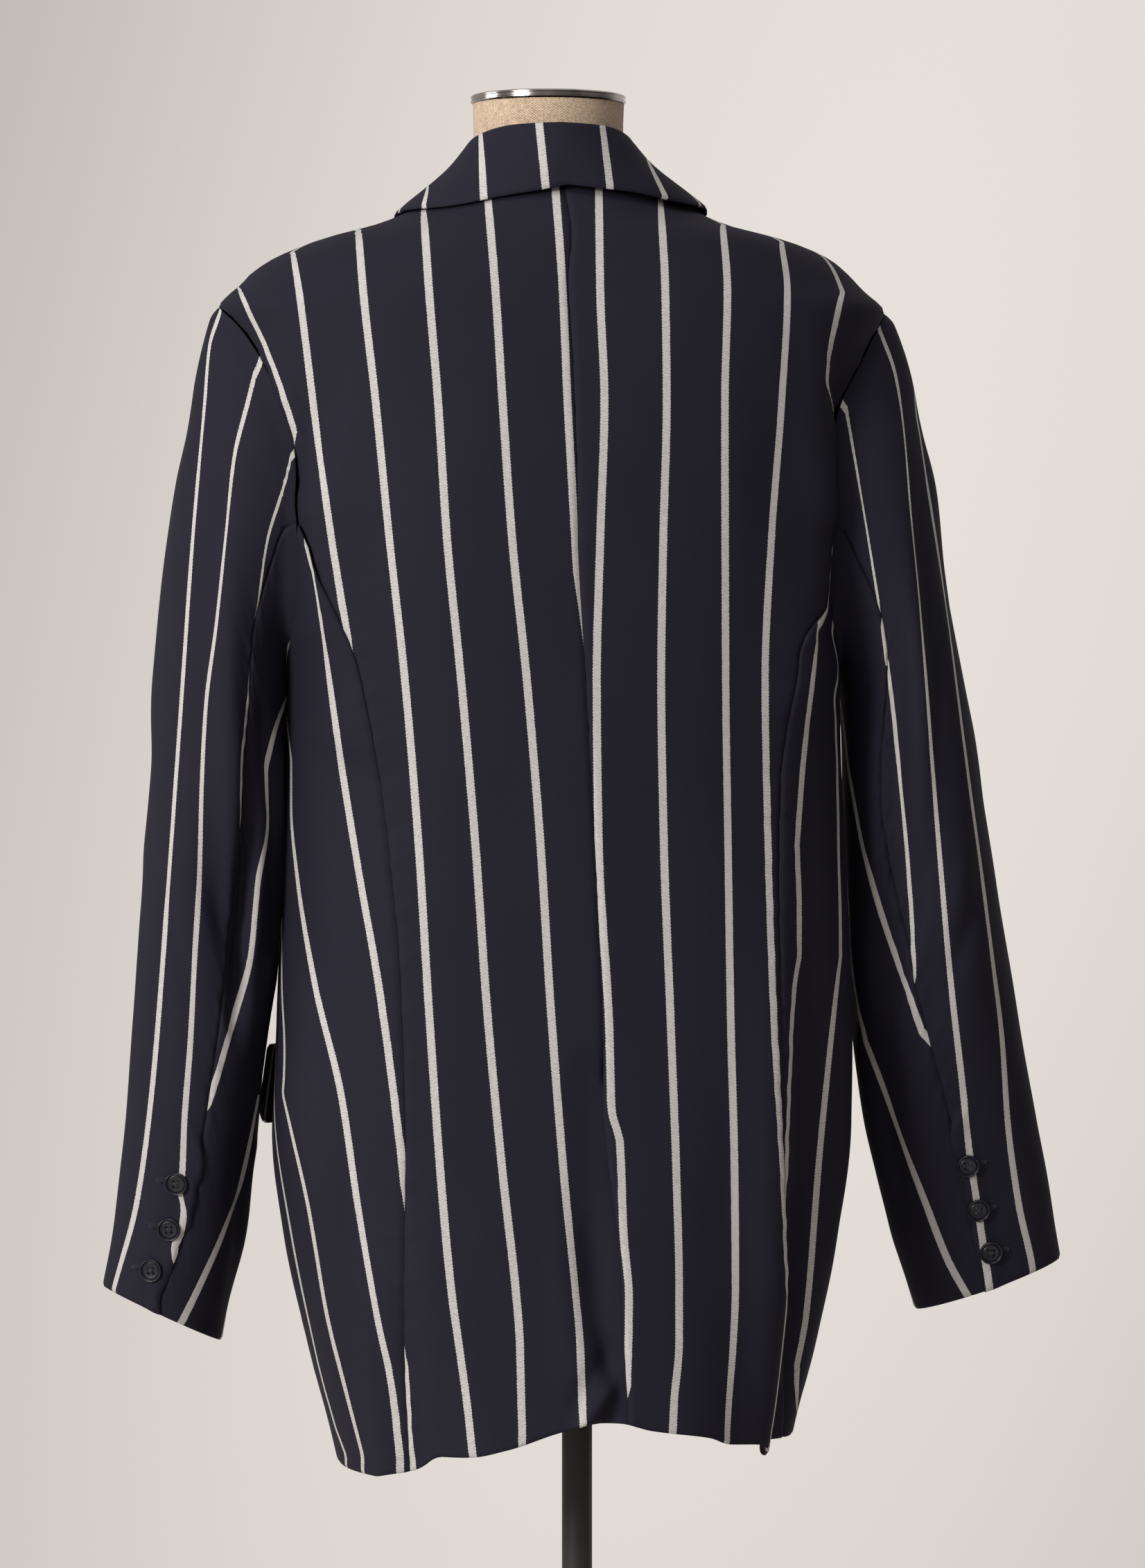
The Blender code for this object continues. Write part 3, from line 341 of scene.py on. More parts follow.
def angle_at(across, height, front=False):
    """The angle in degrees where the body lies this far to the wearer's left of its centre."""
    result = []
    for value, level in zip(np.ravel(across), np.ravel(height)):
        angles = np.linspace(-88, 88, 353)
        places = angles + 0.0
        if front:
            places = 180 - angles
        offset = body_point(places, np.full_like(places, level))[:, 0] - BODY.read("centre", level)
        result.append(np.interp(value, offset, places))
    return np.array(result).reshape(np.shape(across))


def armhole_angle(height, toward_back):
    """Where the armhole's edge is at a height, in degrees from the centre back."""
    middle = (TIP_Z + UNDERARM_Z) / 2
    rise = np.clip((height - middle) / (TIP_Z - middle), -1, 1)
    bulge = np.sqrt(1 - rise**2) * (1 - 0.18 * rise)
    if toward_back:
        return ARMHOLE_MIDDLE - ARMHOLE_BACK * bulge
    return ARMHOLE_MIDDLE + ARMHOLE_FRONT * bulge


def armhole_point(turn):
    """The armhole at a turn round the sleeve: 0 at the tip, 90 at the back, 180 under the arm."""
    middle = (TIP_Z + UNDERARM_Z) / 2
    rise = np.cos(np.radians(turn))
    height = middle + (TIP_Z - middle) * rise
    bulge = np.sin(np.radians(turn)) * (1 - 0.18 * rise)
    reach = np.where(bulge > 0, ARMHOLE_BACK, ARMHOLE_FRONT)
    return ARMHOLE_MIDDLE - reach * bulge, height


# How far the side-back seams bow to the back below the armhole, degrees
SEAM_BEND = Table("height left right", [
    (1.000, 0.0, 0.0), (1.060, 0.0, 0.6), (1.120, 0.0, 2.5), (1.160, 0.1, 5.8), (1.180, 1.3, 5.6),
    (1.195, 2.6, 3.8), (1.204, 2.0, 2.4), (SEAM_TO_ARMHOLE_Z, 0.0, 0.0),
])
# How far the right back's edge over the vent sits right of the centre seam
VENT_EDGE = Table("height shift", [
    (0.610, 0.0040), (0.660, 0.0042), (0.710, 0.0052), (0.750, 0.0070), (0.783, 0.0060), (0.805, 0.0040),
    (0.830, 0.0020), (0.860, 0.0), (1.440, 0.0),
])


def back_outer_angle(height, side):
    """The back panel's outer edge: side-back seam, then armhole, then shoulder seam."""
    seam = np.abs(angle_at(side * SEAMS.read("left" if side > 0 else "right", height), height))
    arm = armhole_angle(height, True)
    join = armhole_angle(np.array(SEAM_TO_ARMHOLE_Z), True)
    low = seam + (join - seam) * smooth(SEAM_TO_ARMHOLE_Z - 0.05, SEAM_TO_ARMHOLE_Z, height)
    low = low - SEAM_BEND.read("left" if side > 0 else "right", height)
    edge = np.where(height < SEAM_TO_ARMHOLE_Z, low, arm)
    shoulder = ARMHOLE_MIDDLE + (SHOULDER_ANGLE - ARMHOLE_MIDDLE) * smooth(TIP_Z, 1.40, height)
    return np.where(height >= TIP_Z, shoulder, edge)


def neckline(angle):
    """Height of the neck seam at an angle from the centre back."""
    rise = np.sin(np.radians(np.clip(np.abs(angle), 0, 90))) ** 2
    return NECK_BACK_Z + (NECK_POINT_Z - NECK_BACK_Z) * rise


# Guide lines of the stripes, numbered across the cloth: height and place across, in metres, as the
# camera sees them at the pole's distance. Between and beyond them the stripes keep their pitch.
BACK_STRIPES = {
    0: [(1.283, -0.182), (1.301, -0.1875), (1.337, -0.2005), (1.359, -0.211), (1.376, -0.2180)],
    1: [(0.600, -0.1050), (0.616, -0.1056), (0.640, -0.1080), (0.674, -0.1098), (0.700, -0.1160),
        (0.800, -0.1350), (1.000, -0.1550), (1.080, -0.1450), (1.100, -0.1400), (1.141, -0.1460),
        (1.212, -0.1575), (1.265, -0.1650), (1.337, -0.1740), (1.372, -0.1785), (1.400, -0.1830)],
    2: [(0.624, -0.0670), (0.660, -0.0710), (0.696, -0.0760), (0.731, -0.0808), (0.802, -0.0874),
        (0.909, -0.0950), (1.016, -0.1017), (1.123, -0.1106), (1.212, -0.1204), (1.301, -0.1293),
        (1.372, -0.1373), (1.420, -0.1410)],
    3: [(0.640, -0.0352), (0.660, -0.0358), (0.696, -0.0367), (0.731, -0.0394), (0.802, -0.0474),
        (0.909, -0.0576), (1.016, -0.0652), (1.123, -0.0745), (1.212, -0.0834), (1.301, -0.0892),
        (1.372, -0.0950), (1.432, -0.0990)],
    4: [(0.630, 0.0045), (0.660, 0.0033), (0.696, 0.0020), (0.731, -0.0011), (0.802, -0.0082),
        (0.909, -0.0167), (1.016, -0.0234), (1.123, -0.0323), (1.212, -0.0416), (1.301, -0.0478),
        (1.372, -0.0523), (1.432, -0.0573)],
    5: [(1.190, 0.0002), (1.212, -0.0011), (1.301, -0.0060), (1.372, -0.0091), (1.440, -0.0140)],
    6: [(0.645, 0.0305), (0.671, 0.0322), (0.724, 0.0334), (0.768, 0.0298), (0.824, 0.0276),
        (0.847, 0.0222), (0.900, 0.0207), (1.016, 0.0140), (1.123, 0.0127), (1.212, 0.0149),
        (1.301, 0.0176), (1.372, 0.0149), (1.440, 0.0140)],
    7: [(0.640, 0.0615), (0.660, 0.0625), (0.696, 0.0656), (0.731, 0.0656), (0.802, 0.0639),
        (0.909, 0.0599), (1.016, 0.0558), (1.123, 0.0541), (1.212, 0.0554), (1.301, 0.0576),
        (1.372, 0.0567), (1.432, 0.0535)],
    8: [(0.640, 0.0965), (0.660, 0.0977), (0.696, 0.1003), (0.731, 0.1017), (0.802, 0.1012),
        (0.909, 0.0986), (1.016, 0.0970), (1.123, 0.0955), (1.301, 0.0950), (1.372, 0.0966),
        (1.420, 0.0930)],
    9: [(0.620, 0.1380), (0.660, 0.1372), (0.731, 0.1349), (0.802, 0.1324), (0.909, 0.1263),
        (1.016, 0.1227), (1.123, 0.1208), (1.212, 0.1248), (1.301, 0.1315), (1.372, 0.1351),
        (1.405, 0.1310)],
    10: [(1.310, 0.1608), (1.325, 0.1613), (1.355, 0.1667), (1.372, 0.1707)],
}
LEFT_SIDE_STRIPES = {
    1: [(0.750, -0.1070), (0.785, -0.1097), (0.856, -0.1177), (0.927, -0.1275), (0.998, -0.1400),
        (1.069, -0.1515), (1.165, -0.1653), (1.195, -0.1707), (1.210, -0.1751), (1.224, -0.1800)],
    2: [(0.624, -0.1137), (0.669, -0.1191), (0.713, -0.1284), (0.785, -0.1408), (0.856, -0.1515),
        (0.927, -0.1684), (0.998, -0.1800), (1.040, -0.1836), (1.069, -0.1836)],
    3: [(0.624, -0.1377), (0.669, -0.1494), (0.713, -0.1604), (0.785, -0.1729), (0.830, -0.1830),
        (0.856, -0.1889)],
    4: [(0.624, -0.1484), (0.642, -0.1551)],
}
RIGHT_SIDE_STRIPES = {
    1: [(1.016, 0.1413), (1.069, 0.1453), (1.141, 0.1537), (1.187, 0.1585), (1.204, 0.1625),
        (1.223, 0.1652), (1.244, 0.1640)],
    2: [(0.682, 0.1413), (0.713, 0.1471), (0.820, 0.1560), (0.927, 0.1671), (0.945, 0.1693)],
}
COLLAR_STRIPES = {
    0: [(1.425, -0.0990), (1.438, -0.0960), (1.460, -0.0930)],
    1: [(1.433, -0.0600), (1.473, -0.0620), (1.482, -0.0625)],
    2: [(1.436, -0.0198), (1.483, -0.0247)],
    3: [(1.436, 0.0216), (1.483, 0.0158)],
    4: [(1.433, 0.0567), (1.463, 0.0420), (1.472, 0.0380)],
}
LEFT_TOP_SLEEVE_STRIPES = {
    0: [(0.700, -0.3050), (0.731, -0.2975), (0.785, -0.2830), (0.838, -0.2752), (0.891, -0.2699),
        (0.998, -0.2619), (1.105, -0.2543), (1.212, -0.2468), (1.301, -0.2390), (1.336, -0.2361),
        (1.359, -0.2290)],
    1: [(0.700, -0.2450), (0.725, -0.2520), (0.745, -0.2575), (0.758, -0.2583), (0.765, -0.2548),
        (0.781, -0.2525), (0.793, -0.2548), (0.806, -0.2534), (0.838, -0.2521), (0.891, -0.2481),
        (0.945, -0.2454), (0.998, -0.2423), (1.052, -0.2410), (1.105, -0.2383), (1.158, -0.2316),
        (1.212, -0.2258), (1.265, -0.2201), (1.301, -0.2112), (1.319, -0.2067)],
    2: [(1.029, -0.2160), (1.070, -0.2150), (1.105, -0.2115), (1.158, -0.2062), (1.176, -0.2040),
        (1.212, -0.1987), (1.247, -0.1880), (1.267, -0.1831)],
}
LEFT_UNDER_SLEEVE_STRIPES = {
    3: [(0.818, -0.2459), (0.838, -0.2405), (0.864, -0.2320), (0.909, -0.2192), (0.945, -0.2094),
        (0.976, -0.2063), (0.994, -0.2045), (1.007, -0.2018), (1.018, -0.1996), (1.032, -0.1985),
        (1.047, -0.1991), (1.065, -0.1996), (1.078, -0.1969), (1.094, -0.1925), (1.109, -0.1871),
        (1.123, -0.1835), (1.150, -0.1830)],
    4: [(0.700, -0.2590), (0.713, -0.2521), (0.731, -0.2432), (0.767, -0.2272), (0.802, -0.2152),
        (0.864, -0.2023)],
}
RIGHT_TOP_SLEEVE_STRIPES = {
    2: [(0.909, 0.2165), (0.945, 0.2160), (0.998, 0.2129), (1.052, 0.2080), (1.105, 0.2027),
        (1.158, 0.1956), (1.212, 0.1871), (1.247, 0.1813), (1.301, 0.1720)],
    1: [(0.720, 0.2670), (0.731, 0.2650), (0.767, 0.2597), (0.829, 0.2508), (0.856, 0.2481),
        (0.927, 0.2401), (0.998, 0.2338), (1.052, 0.2294), (1.123, 0.2241), (1.176, 0.2196),
        (1.230, 0.2143), (1.283, 0.2098), (1.318, 0.2045), (1.348, 0.1938)],
    0: [(0.720, 0.2960), (0.749, 0.2917), (0.785, 0.2837), (0.838, 0.2766), (0.891, 0.2730),
        (0.945, 0.2665), (0.998, 0.2598), (1.052, 0.2524), (1.105, 0.2455), (1.158, 0.2386),
        (1.212, 0.2306), (1.247, 0.2250), (1.283, 0.2196)],
}
RIGHT_UNDER_SLEEVE_STRIPES = {
    2: [(0.998, 0.2129), (1.052, 0.2080), (1.105, 0.2027), (1.158, 0.1956)],
    3: [(0.896, 0.2214), (0.909, 0.2169), (0.945, 0.2045), (0.980, 0.1929), (1.016, 0.1831),
        (1.052, 0.1764)],
    4: [(0.722, 0.2534), (0.749, 0.2383), (0.785, 0.2241), (0.820, 0.2107), (0.856, 0.1983),
        (0.891, 0.1849)],
}

# How fast the stripes follow each other past the first and the last guide line, 1 for their pitch
STRIPE_REACH = {
    "sleeve_top_left": (0.58, 0.12), "sleeve_under_left": (0.12, 0.8),
    "sleeve_top_right": (0.70, 0.12), "sleeve_under_right": (0.12, 0.8),
    "side_left": (0.65, 0.65), "side_right": (0.72, 0.72),
    "back_right": (1.0, 0.45),
}
# How a stripe leans away past the lower and the upper end of its guide line, metres to each metre
STRIPE_LEAN = {
    "sleeve_top_left": {1: (0.8, 0.0), 2: (0.5, 0.0)}, "sleeve_under_left": {3: (-0.5, 0.8)},
    "sleeve_top_right": {2: (0.8, 0.0)}, "sleeve_under_right": {2: (-0.6, -3.0), 3: (-0.5, 0.8)},
    "side_left": {1: (0.0, -4.0), 2: (0.0, 0.5)},
    "back_right": {10: (1.2, 0.0)},
}

# How far the cloth hangs out beside the armhole: real height, place from the pole and push
DRAPE = {
    1: Table("height place push", [
        (0.930, 0.186, 0.0), (0.980, 0.186, 0.0010), (1.025, 0.186, 0.0020), (1.114, 0.186, 0.0040),
        (1.134, 0.183, 0.0065), (1.156, 0.177, 0.0115), (1.190, 0.174, 0.0135), (1.223, 0.172, 0.0150),
        (1.252, 0.1775, 0.0110), (1.280, 0.183, 0.0070), (1.304, 0.193, 0.0050), (1.3315, 0.203, 0.0012),
        (1.350, 0.208, 0.0),
    ]),
    -1: Table("height place push", [
        (1.000, 0.150, 0.0), (1.087, 0.146, 0.0030), (1.132, 0.142, 0.0060), (1.159, 0.140, 0.0100),
        (1.187, 0.140, 0.0125), (1.204, 0.141, 0.0135), (1.223, 0.1415, 0.0147), (1.244, 0.1425, 0.0120),
        (1.266, 0.148, 0.0065), (1.285, 0.155, 0.0030), (1.305, 0.162, 0.0),
    ]),
}
DRAPE_WIDTH = 0.022
# How much further the left side panel hangs out below the armhole, where it touches the sleeve
TOUCH = Table("height push", [
    (0.900, 0.0), (0.950, 0.0018), (0.985, 0.0034), (1.040, 0.0046), (1.115, 0.0046),
    (1.140, 0.0022), (1.160, 0.0),
])

# Folds as straight strokes, as the camera sees them: where each starts and ends (across, height),
# its width and how far it stands out, or lies in where that is negative
BACK_CREASES = [
    # across, height, across, height, width, depth
    (-0.190, 1.300, -0.186, 1.100, 0.012, 0.0030),
    (-0.165, 1.290, -0.168, 1.120, 0.010, -0.0020),
    (-0.150, 1.350, -0.172, 1.230, 0.014, -0.0022),
    (0.166, 1.330, 0.170, 1.190, 0.0045, -0.0050),
    (0.154, 1.350, 0.159, 1.150, 0.008, 0.0030),
    (0.118, 1.330, 0.146, 1.180, 0.016, -0.0020),
    (0.008, 0.780, 0.019, 0.672, 0.010, -0.0050),
    (0.020, 0.700, 0.026, 0.664, 0.006, -0.0050),
    (0.001, 0.638, 0.026, 0.674, 0.0042, 0.0048),
    (-0.004, 0.652, 0.018, 0.690, 0.006, -0.0030),
    (0.012, 0.640, 0.030, 0.652, 0.004, -0.0030),
    (-0.096, 0.790, -0.104, 0.640, 0.016, 0.0030),
    (-0.060, 0.760, -0.056, 0.640, 0.018, -0.0025),
    (0.075, 0.780, 0.080, 0.640, 0.018, -0.0022),
    (0.122, 0.900, 0.130, 0.640, 0.014, 0.0028),
    (0.050, 1.060, 0.046, 0.880, 0.022, -0.0012),
    (-0.045, 1.120, -0.030, 0.920, 0.024, -0.0012),
    (0.100, 1.120, 0.120, 0.960, 0.020, -0.0014),
]
SIDE_CREASES = [
    (-0.180, 0.990, -0.140, 0.850, 0.012, -0.0026),
    (-0.150, 0.840, -0.130, 0.660, 0.012, -0.0026),
    (-0.172, 0.860, -0.152, 0.680, 0.010, 0.0026),
    (-0.135, 0.720, -0.116, 0.625, 0.008, -0.0030),
    (-0.168, 1.130, -0.160, 1.000, 0.010, 0.0020),
    (0.150, 1.080, 0.150, 0.900, 0.012, -0.0024),
    (0.155, 0.860, 0.145, 0.680, 0.010, 0.0024),
    (0.135, 0.800, 0.132, 0.650, 0.008, -0.0030),
]
FRONT_CREASES = [
    (0.145, 1.300, 0.150, 1.120, 0.012, -0.0024),
    (0.120, 1.260, 0.060, 1.060, 0.018, 0.0018),
    (0.030, 1.035, 0.120, 0.980, 0.012, -0.0020),
    (0.028, 1.020, 0.100, 0.920, 0.012, 0.0018),
    (0.120, 0.820, 0.110, 0.660, 0.014, -0.0026),
    (0.075, 0.860, 0.085, 0.680, 0.016, 0.0020),
    (0.150, 0.900, 0.140, 0.700, 0.014, 0.0022),
]
COLLAR_CREASES = [
    (-0.020, 1.478, -0.010, 1.440, 0.010, 0.0006),
    (0.045, 1.460, 0.030, 1.440, 0.010, -0.0008),
]
# On the sleeves: turn round the sleeve in degrees and part of the way down, instead of metres
SLEEVE_CREASES = {
    1: [
        (112, 0.24, 110, 0.60, 7, -0.0062), (102, 0.26, 100, 0.62, 7, 0.0022),
        (128, 0.14, 124, 0.30, 9, -0.0030), (92, 0.16, 96, 0.50, 10, 0.0030),
        (150, 0.20, 160, 0.44, 10, 0.0025), (60, 0.10, 66, 0.34, 12, -0.0022),
        (130, 0.50, 96, 0.62, 9, -0.0026), (70, 0.52, 104, 0.60, 9, 0.0020),
        (40, 0.56, 80, 0.66, 10, -0.0018), (20, 0.05, 24, 0.30, 14, 0.0016),
        (-40, 0.40, 10, 0.48, 10, -0.0010), (-60, 0.50, 0, 0.56, 10, 0.0010),
        (200, 0.36, 240, 0.46, 10, -0.0028), (210, 0.50, 230, 0.70, 12, 0.0024),
        (-80, 0.10, -86, 0.34, 12, -0.0024), (-30, 0.66, -24, 0.90, 14, -0.0020),
        (150, 0.66, 156, 0.92, 14, -0.0024),
    ],
    -1: [
        (112, 0.14, 124, 0.44, 10, -0.0040), (88, 0.16, 96, 0.46, 11, 0.0028),
        (64, 0.12, 70, 0.36, 12, -0.0022), (140, 0.42, 120, 0.60, 9, -0.0030),
        (96, 0.50, 118, 0.60, 9, 0.0022), (50, 0.56, 90, 0.62, 10, -0.0018),
        (20, 0.05, 24, 0.30, 14, 0.0016), (-50, 0.42, 6, 0.50, 10, -0.0024),
        (-64, 0.54, -4, 0.58, 10, 0.0020), (204, 0.38, 240, 0.48, 10, -0.0028),
        (206, 0.54, 228, 0.74, 12, 0.0022), (-84, 0.12, -88, 0.36, 12, -0.0024),
        (-34, 0.64, -28, 0.92, 14, -0.0020), (146, 0.64, 152, 0.92, 14, -0.0024),
    ],
}


def seen(points):
    """Where points lie for the camera: across to the right of the pole, and up, at its distance."""
    right = -points[..., 0] * cos(CAMERA_TURN) + points[..., 1] * sin(CAMERA_TURN)
    near = points[..., 0] * sin(CAMERA_TURN) + points[..., 1] * cos(CAMERA_TURN)
    scale = CAMERA_DISTANCE / (CAMERA_DISTANCE - near)
    return right * scale, CAMERA_HEIGHT + (points[..., 2] - CAMERA_HEIGHT) * scale


def grid_normals(points, like):
    """Normals of a grid of points, on the side that the given directions are on."""
    down = np.gradient(points, axis=0)
    along = np.gradient(points, axis=1)
    normals = unit(np.cross(down, along))
    side = np.sign((normals * like).sum(-1, keepdims=True))
    return normals * np.where(side == 0, 1, side)


def run_length(points, axis):
    """Distance along each grid line from its first point."""
    steps = np.linalg.norm(np.diff(points, axis=axis), axis=-1)
    total = np.cumsum(steps, axis=axis)
    pad = [(0, 0), (0, 0)]
    pad[axis] = (1, 0)
    return np.pad(total, pad)


def spread(length, step):
    """Shares from 0 to 1 along a length, close together near both ends for the seams."""
    ends = np.array([0, 0.0008, 0.0017, 0.0028, 0.0045])
    middle = np.linspace(0.0070, length - 0.0070, max(3, int(length / step)))
    places = np.concatenate([ends, middle, length - ends[::-1]])
    return places / length


STRIPE_ROOM = 0.0075         # cloth to each side of a guide line that keeps its true distance
HELD_BELOW = 0.05            # how far a guide line that ends at the hem goes straight on
FADE_REACH = 0.05            # past its guide line a stripe goes back to the even pitch over this height


def line_places(points, normals, along, guides):
    """Where each guide line crosses each row of a grid, as cloth distance; NaN where it doesn't."""
    right, up = seen(points)
    facing = normals @ TOWARD_CAMERA > 0.02
    places = np.full((len(guides), points.shape[0]), np.nan)
    for order, number in enumerate(sorted(guides)):
        line = Table("height across", guides[number])
        gap = right - line.read("across", up)
        inside = (up >= line.keys[0] - HELD_BELOW * (line.keys[0] < 0.70) - 0.002)
        inside &= up <= line.keys[-1] + 0.002
        good = facing & inside
        crossing = good[:, :-1] & good[:, 1:] & (gap[:, :-1] * gap[:, 1:] <= 0)
        for row in np.flatnonzero(crossing.any(1)):
            found = np.flatnonzero(crossing[row])
            column = found[np.argmax(points[row, found] @ TOWARD_CAMERA)]
            part = gap[row, column] / (gap[row, column] - gap[row, column + 1] + 1e-12)
            places[order, row] = along[row, column] * (1 - part) + along[row, column + 1] * part
    return places


def carried(places, numbers, pitch, way, heights, lean):
    """Fills the gaps in the lines' places: a line that ends keeps its distance to the next one.

    lean gives for a line how it leaves that distance below and above its known part.
    """
    rows = np.arange(places.shape[1])
    known = ~np.isnan(places)
    order = np.argsort(-known.sum(1))
    done = []
    for line in order:
        has = known[line]
        if not has.any():
            continue
        low = heights[has].min()
        high = heights[has].max()
        below, above = lean.get(int(numbers[line]), (0, 0))
        off = below * np.maximum(low - heights, 0)
        off = off + above * np.maximum(heights - high, 0)
        if done:
            near = min(done, key=lambda other: abs(numbers[other] - numbers[line]))
            offset = places[line, has] - places[near, has]
            even = way * pitch * (numbers[line] - numbers[near])
            held = np.interp(rows, rows[has], offset)
            gone = np.maximum(low - heights, heights - high)
            fade = np.exp(-np.maximum(gone, 0) / FADE_REACH)
            stay = 1.0 if below or above else fade
            places[line] = places[near] + np.where(has, held, even + (held - even) * stay + off)
        else:
            places[line] = np.interp(rows, rows[has], places[line, has]) + off
        done.append(line)
    return done


def draped(points, touch=0.0):
    """Cloth that hangs out over the armhole's back, pushed away from the pole.

    touch is the share of the left side's extra push that this piece gets.
    """
    result = points.copy()
    for side in (1, -1):
        table = DRAPE[side]
        height = points[..., 2]
        aside = side * points[..., 0] - table.read("place", height)
        near = np.exp(-((aside / DRAPE_WIDTH) ** 2)) * smooth(-0.05, 0.0, points[..., 1])
        near = near * (side * points[..., 0] > 0.05)
        result[..., 0] += side * table.read("push", height) * near
        if side > 0:
            result[..., 0] += touch * TOUCH.read("push", height) * near
        result[..., 2] += 0.0070 * near * np.exp(-(((height - 1.205) / 0.030) ** 2))
    return result


def stripe_run(name, points, normals, guides, pitch, way=1, start=0.0):
    """Cloth distance across the stripes for every point, so that they lie on their guide lines.

    Guides are {number: [(height, across), ...]} as seen by the camera. Elsewhere the stripes run on
    by the distance along the cloth.
    """
    along = run_length(points, 1)
    reach = STRIPE_REACH.get(name, (1, 1))
    if not guides:
        return start + way * along
    numbers = np.array(sorted(guides))
    places = line_places(points, normals, along, guides)
    both = ~np.isnan(places)
    for first in range(len(numbers) - 1):
        shared = both[first] & both[first + 1]
        if shared.any():
            way = np.sign(np.nanmedian(places[first + 1, shared] - places[first, shared]))
            break
    lean = STRIPE_LEAN.get(name, {})
    done = carried(places, numbers, pitch, way, points[..., 2].mean(1), lean)
    if not done:
        return start + way * along
    result = np.zeros(points.shape[:2])
    for row in range(points.shape[0]):
        order = sorted(done, key=lambda line: places[line, row])
        spots = places[order, row]
        room = min([STRIPE_ROOM] + list(0.45 * np.diff(spots)))
        knots = (spots[:, None] + np.array([-room, 0, room])).reshape(-1)
        values = (numbers[order, None] * pitch + way * np.array([-room, 0, room])).reshape(-1)
        run = along[row]
        result[row] = np.interp(run, knots, values)
        before = run < knots[0]
        after = run > knots[-1]
        result[row][before] = values[0] - way * reach[0] * (knots[0] - run[before])
        result[row][after] = values[-1] + way * reach[1] * (run[after] - knots[-1])
    return result


def crease(across, up, rows):
    """Depth of folds drawn as straight strokes: where each starts and ends, its width and depth."""
    depth = np.zeros(across.shape)
    for x0, z0, x1, z1, width, deep in rows:
        run = np.array([x1 - x0, z1 - z0])
        length = np.hypot(*run)
        along = ((across - x0) * run[0] + (up - z0) * run[1]) / length**2
        aside = ((across - x0) * run[1] - (up - z0) * run[0]) / length
        reach = np.clip(along, 0, 1)
        over = (along - reach) * length
        taper = 0.25 + 0.75 * np.sin(pi * np.clip(along, 0.0, 1.0)) ** 0.8
        profile = np.exp(-((aside / width) ** 2)) - 0.30 * np.exp(-(((aside - 2.1 * width) / width) ** 2))
        depth += deep * profile * taper * np.exp(-((over / (1.5 * width)) ** 2))
    return depth


def seam_dip(distance, deep, wide):
    return deep * np.exp(-((distance / wide) ** 2))


def finish_edges(points, normals, edges, sizes):
    """Rolls the edges of a piece inwards and puckers the cloth beside its sewn seams.

    edges gives for left, right, bottom and top: "sewn", "puckered", "hem" or "" for a plain one.
    """
    along = run_length(points, 1)
    down = run_length(points, 0)
    away = {
        "left": along, "right": along[:, -1:] - along,
        "bottom": down, "top": down[-1:] - down,
    }
    depth = np.zeros(points.shape[:2])
    for name, kind in edges.items():
        distance = away[name]
        run = down if name in ("left", "right") else along
        if kind in ("sewn", "puckered"):
            depth += seam_dip(distance, sizes.seam_depth, 0.0019)
        if kind == "puckered":
            wave = np.sin(run * tau / 0.0210) * np.sin(run * tau / 0.0570 + 0.8)
            depth += 0.00055 * wave * np.exp(-((distance / 0.0130) ** 2))
        if kind == "hem":
            depth += seam_dip(distance, 0.0009, 0.0013)
    return points - normals * depth[..., None]


def uneven(points, sizes):
    """The slow waves that cloth has where nothing draws it tight."""
    x, y, z = points[..., 0], points[..., 1], points[..., 2]
    wave = np.sin(x * 31 + z * 9 + 0.6) * np.sin(z * 17 - y * 13 + 1.1)
    wave = wave + 0.6 * np.sin(x * 57 - y * 41 + z * 6 + 2.0) * np.sin(z * 29 + x * 11)
    wave = wave + 0.30 * np.sin(x * 101 + y * 87 - z * 23) * np.sin(z * 61 - x * 37 + 0.4)
    return sizes.unevenness * wave


def shell(name, points, normals, run, sizes, nodes):
    """A cloth shell from its outer grid, with the stripes' distance as its UV map."""
    rows, columns = points.shape[:2]
    index = np.arange(rows * columns).reshape(rows, columns)
    quads = np.stack([index[:-1, :-1], index[:-1, 1:], index[1:, 1:], index[1:, :-1]], -1)
    corner = points.reshape(-1, 3)
    middle = quads[rows // 2, columns // 2] if rows > 2 else quads[0, 0]
    turn = np.cross(corner[middle[1]] - corner[middle[0]], corner[middle[2]] - corner[middle[0]])
    if turn @ normals[rows // 2, columns // 2] < 0:
        quads = quads[..., ::-1]
    mesh = bpy.data.meshes.new(name + "_cloth")
    mesh.from_pydata(corner.tolist(), [], quads.reshape(-1, 4).tolist())
    length = run_length(points, 0)
    layer = mesh.uv_layers.new(name="grain")
    order = quads.reshape(-1)
    pairs = np.stack([run.reshape(-1)[order], length.reshape(-1)[order]], -1)
    layer.data.foreach_set("uv", pairs.astype(np.float32).reshape(-1))
    piece = bpy.data.objects.new(name + "_cloth", mesh)
    bpy.context.collection.objects.link(piece)
    mesh.shade_smooth()
    mesh.materials.append(cloth_material())
    wall = piece.modifiers.new("wall", "SOLIDIFY")
    wall.thickness = sizes.thickness
    wall.offset = -1
    wall.use_quality_normals = True
    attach(piece, "root")
    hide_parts(*nodes)
    return piece


def body_grid(inner_edge, outer_edge, shift, low, high, sizes):
    """Fine angles, levels and heights of a body panel between two edges."""
    levels = low + (high - low) * spread(high - low, sizes.mesh_step)
    middle = np.array([(low + high) / 2])
    width = abs(float((outer_edge(middle) - inner_edge(middle))[0])) * pi / 180 * 0.17
    share = spread(max(width, 0.05), sizes.mesh_step)
    first = inner_edge(levels)
    last = outer_edge(levels)
    angle = first[:, None] + (last - first)[:, None] * share[None, :]
    level = np.repeat(levels[:, None], len(share), 1)
    height = level + hem_shift(angle, level) + shift(angle[-1][None, :], level)
    return angle, level, height


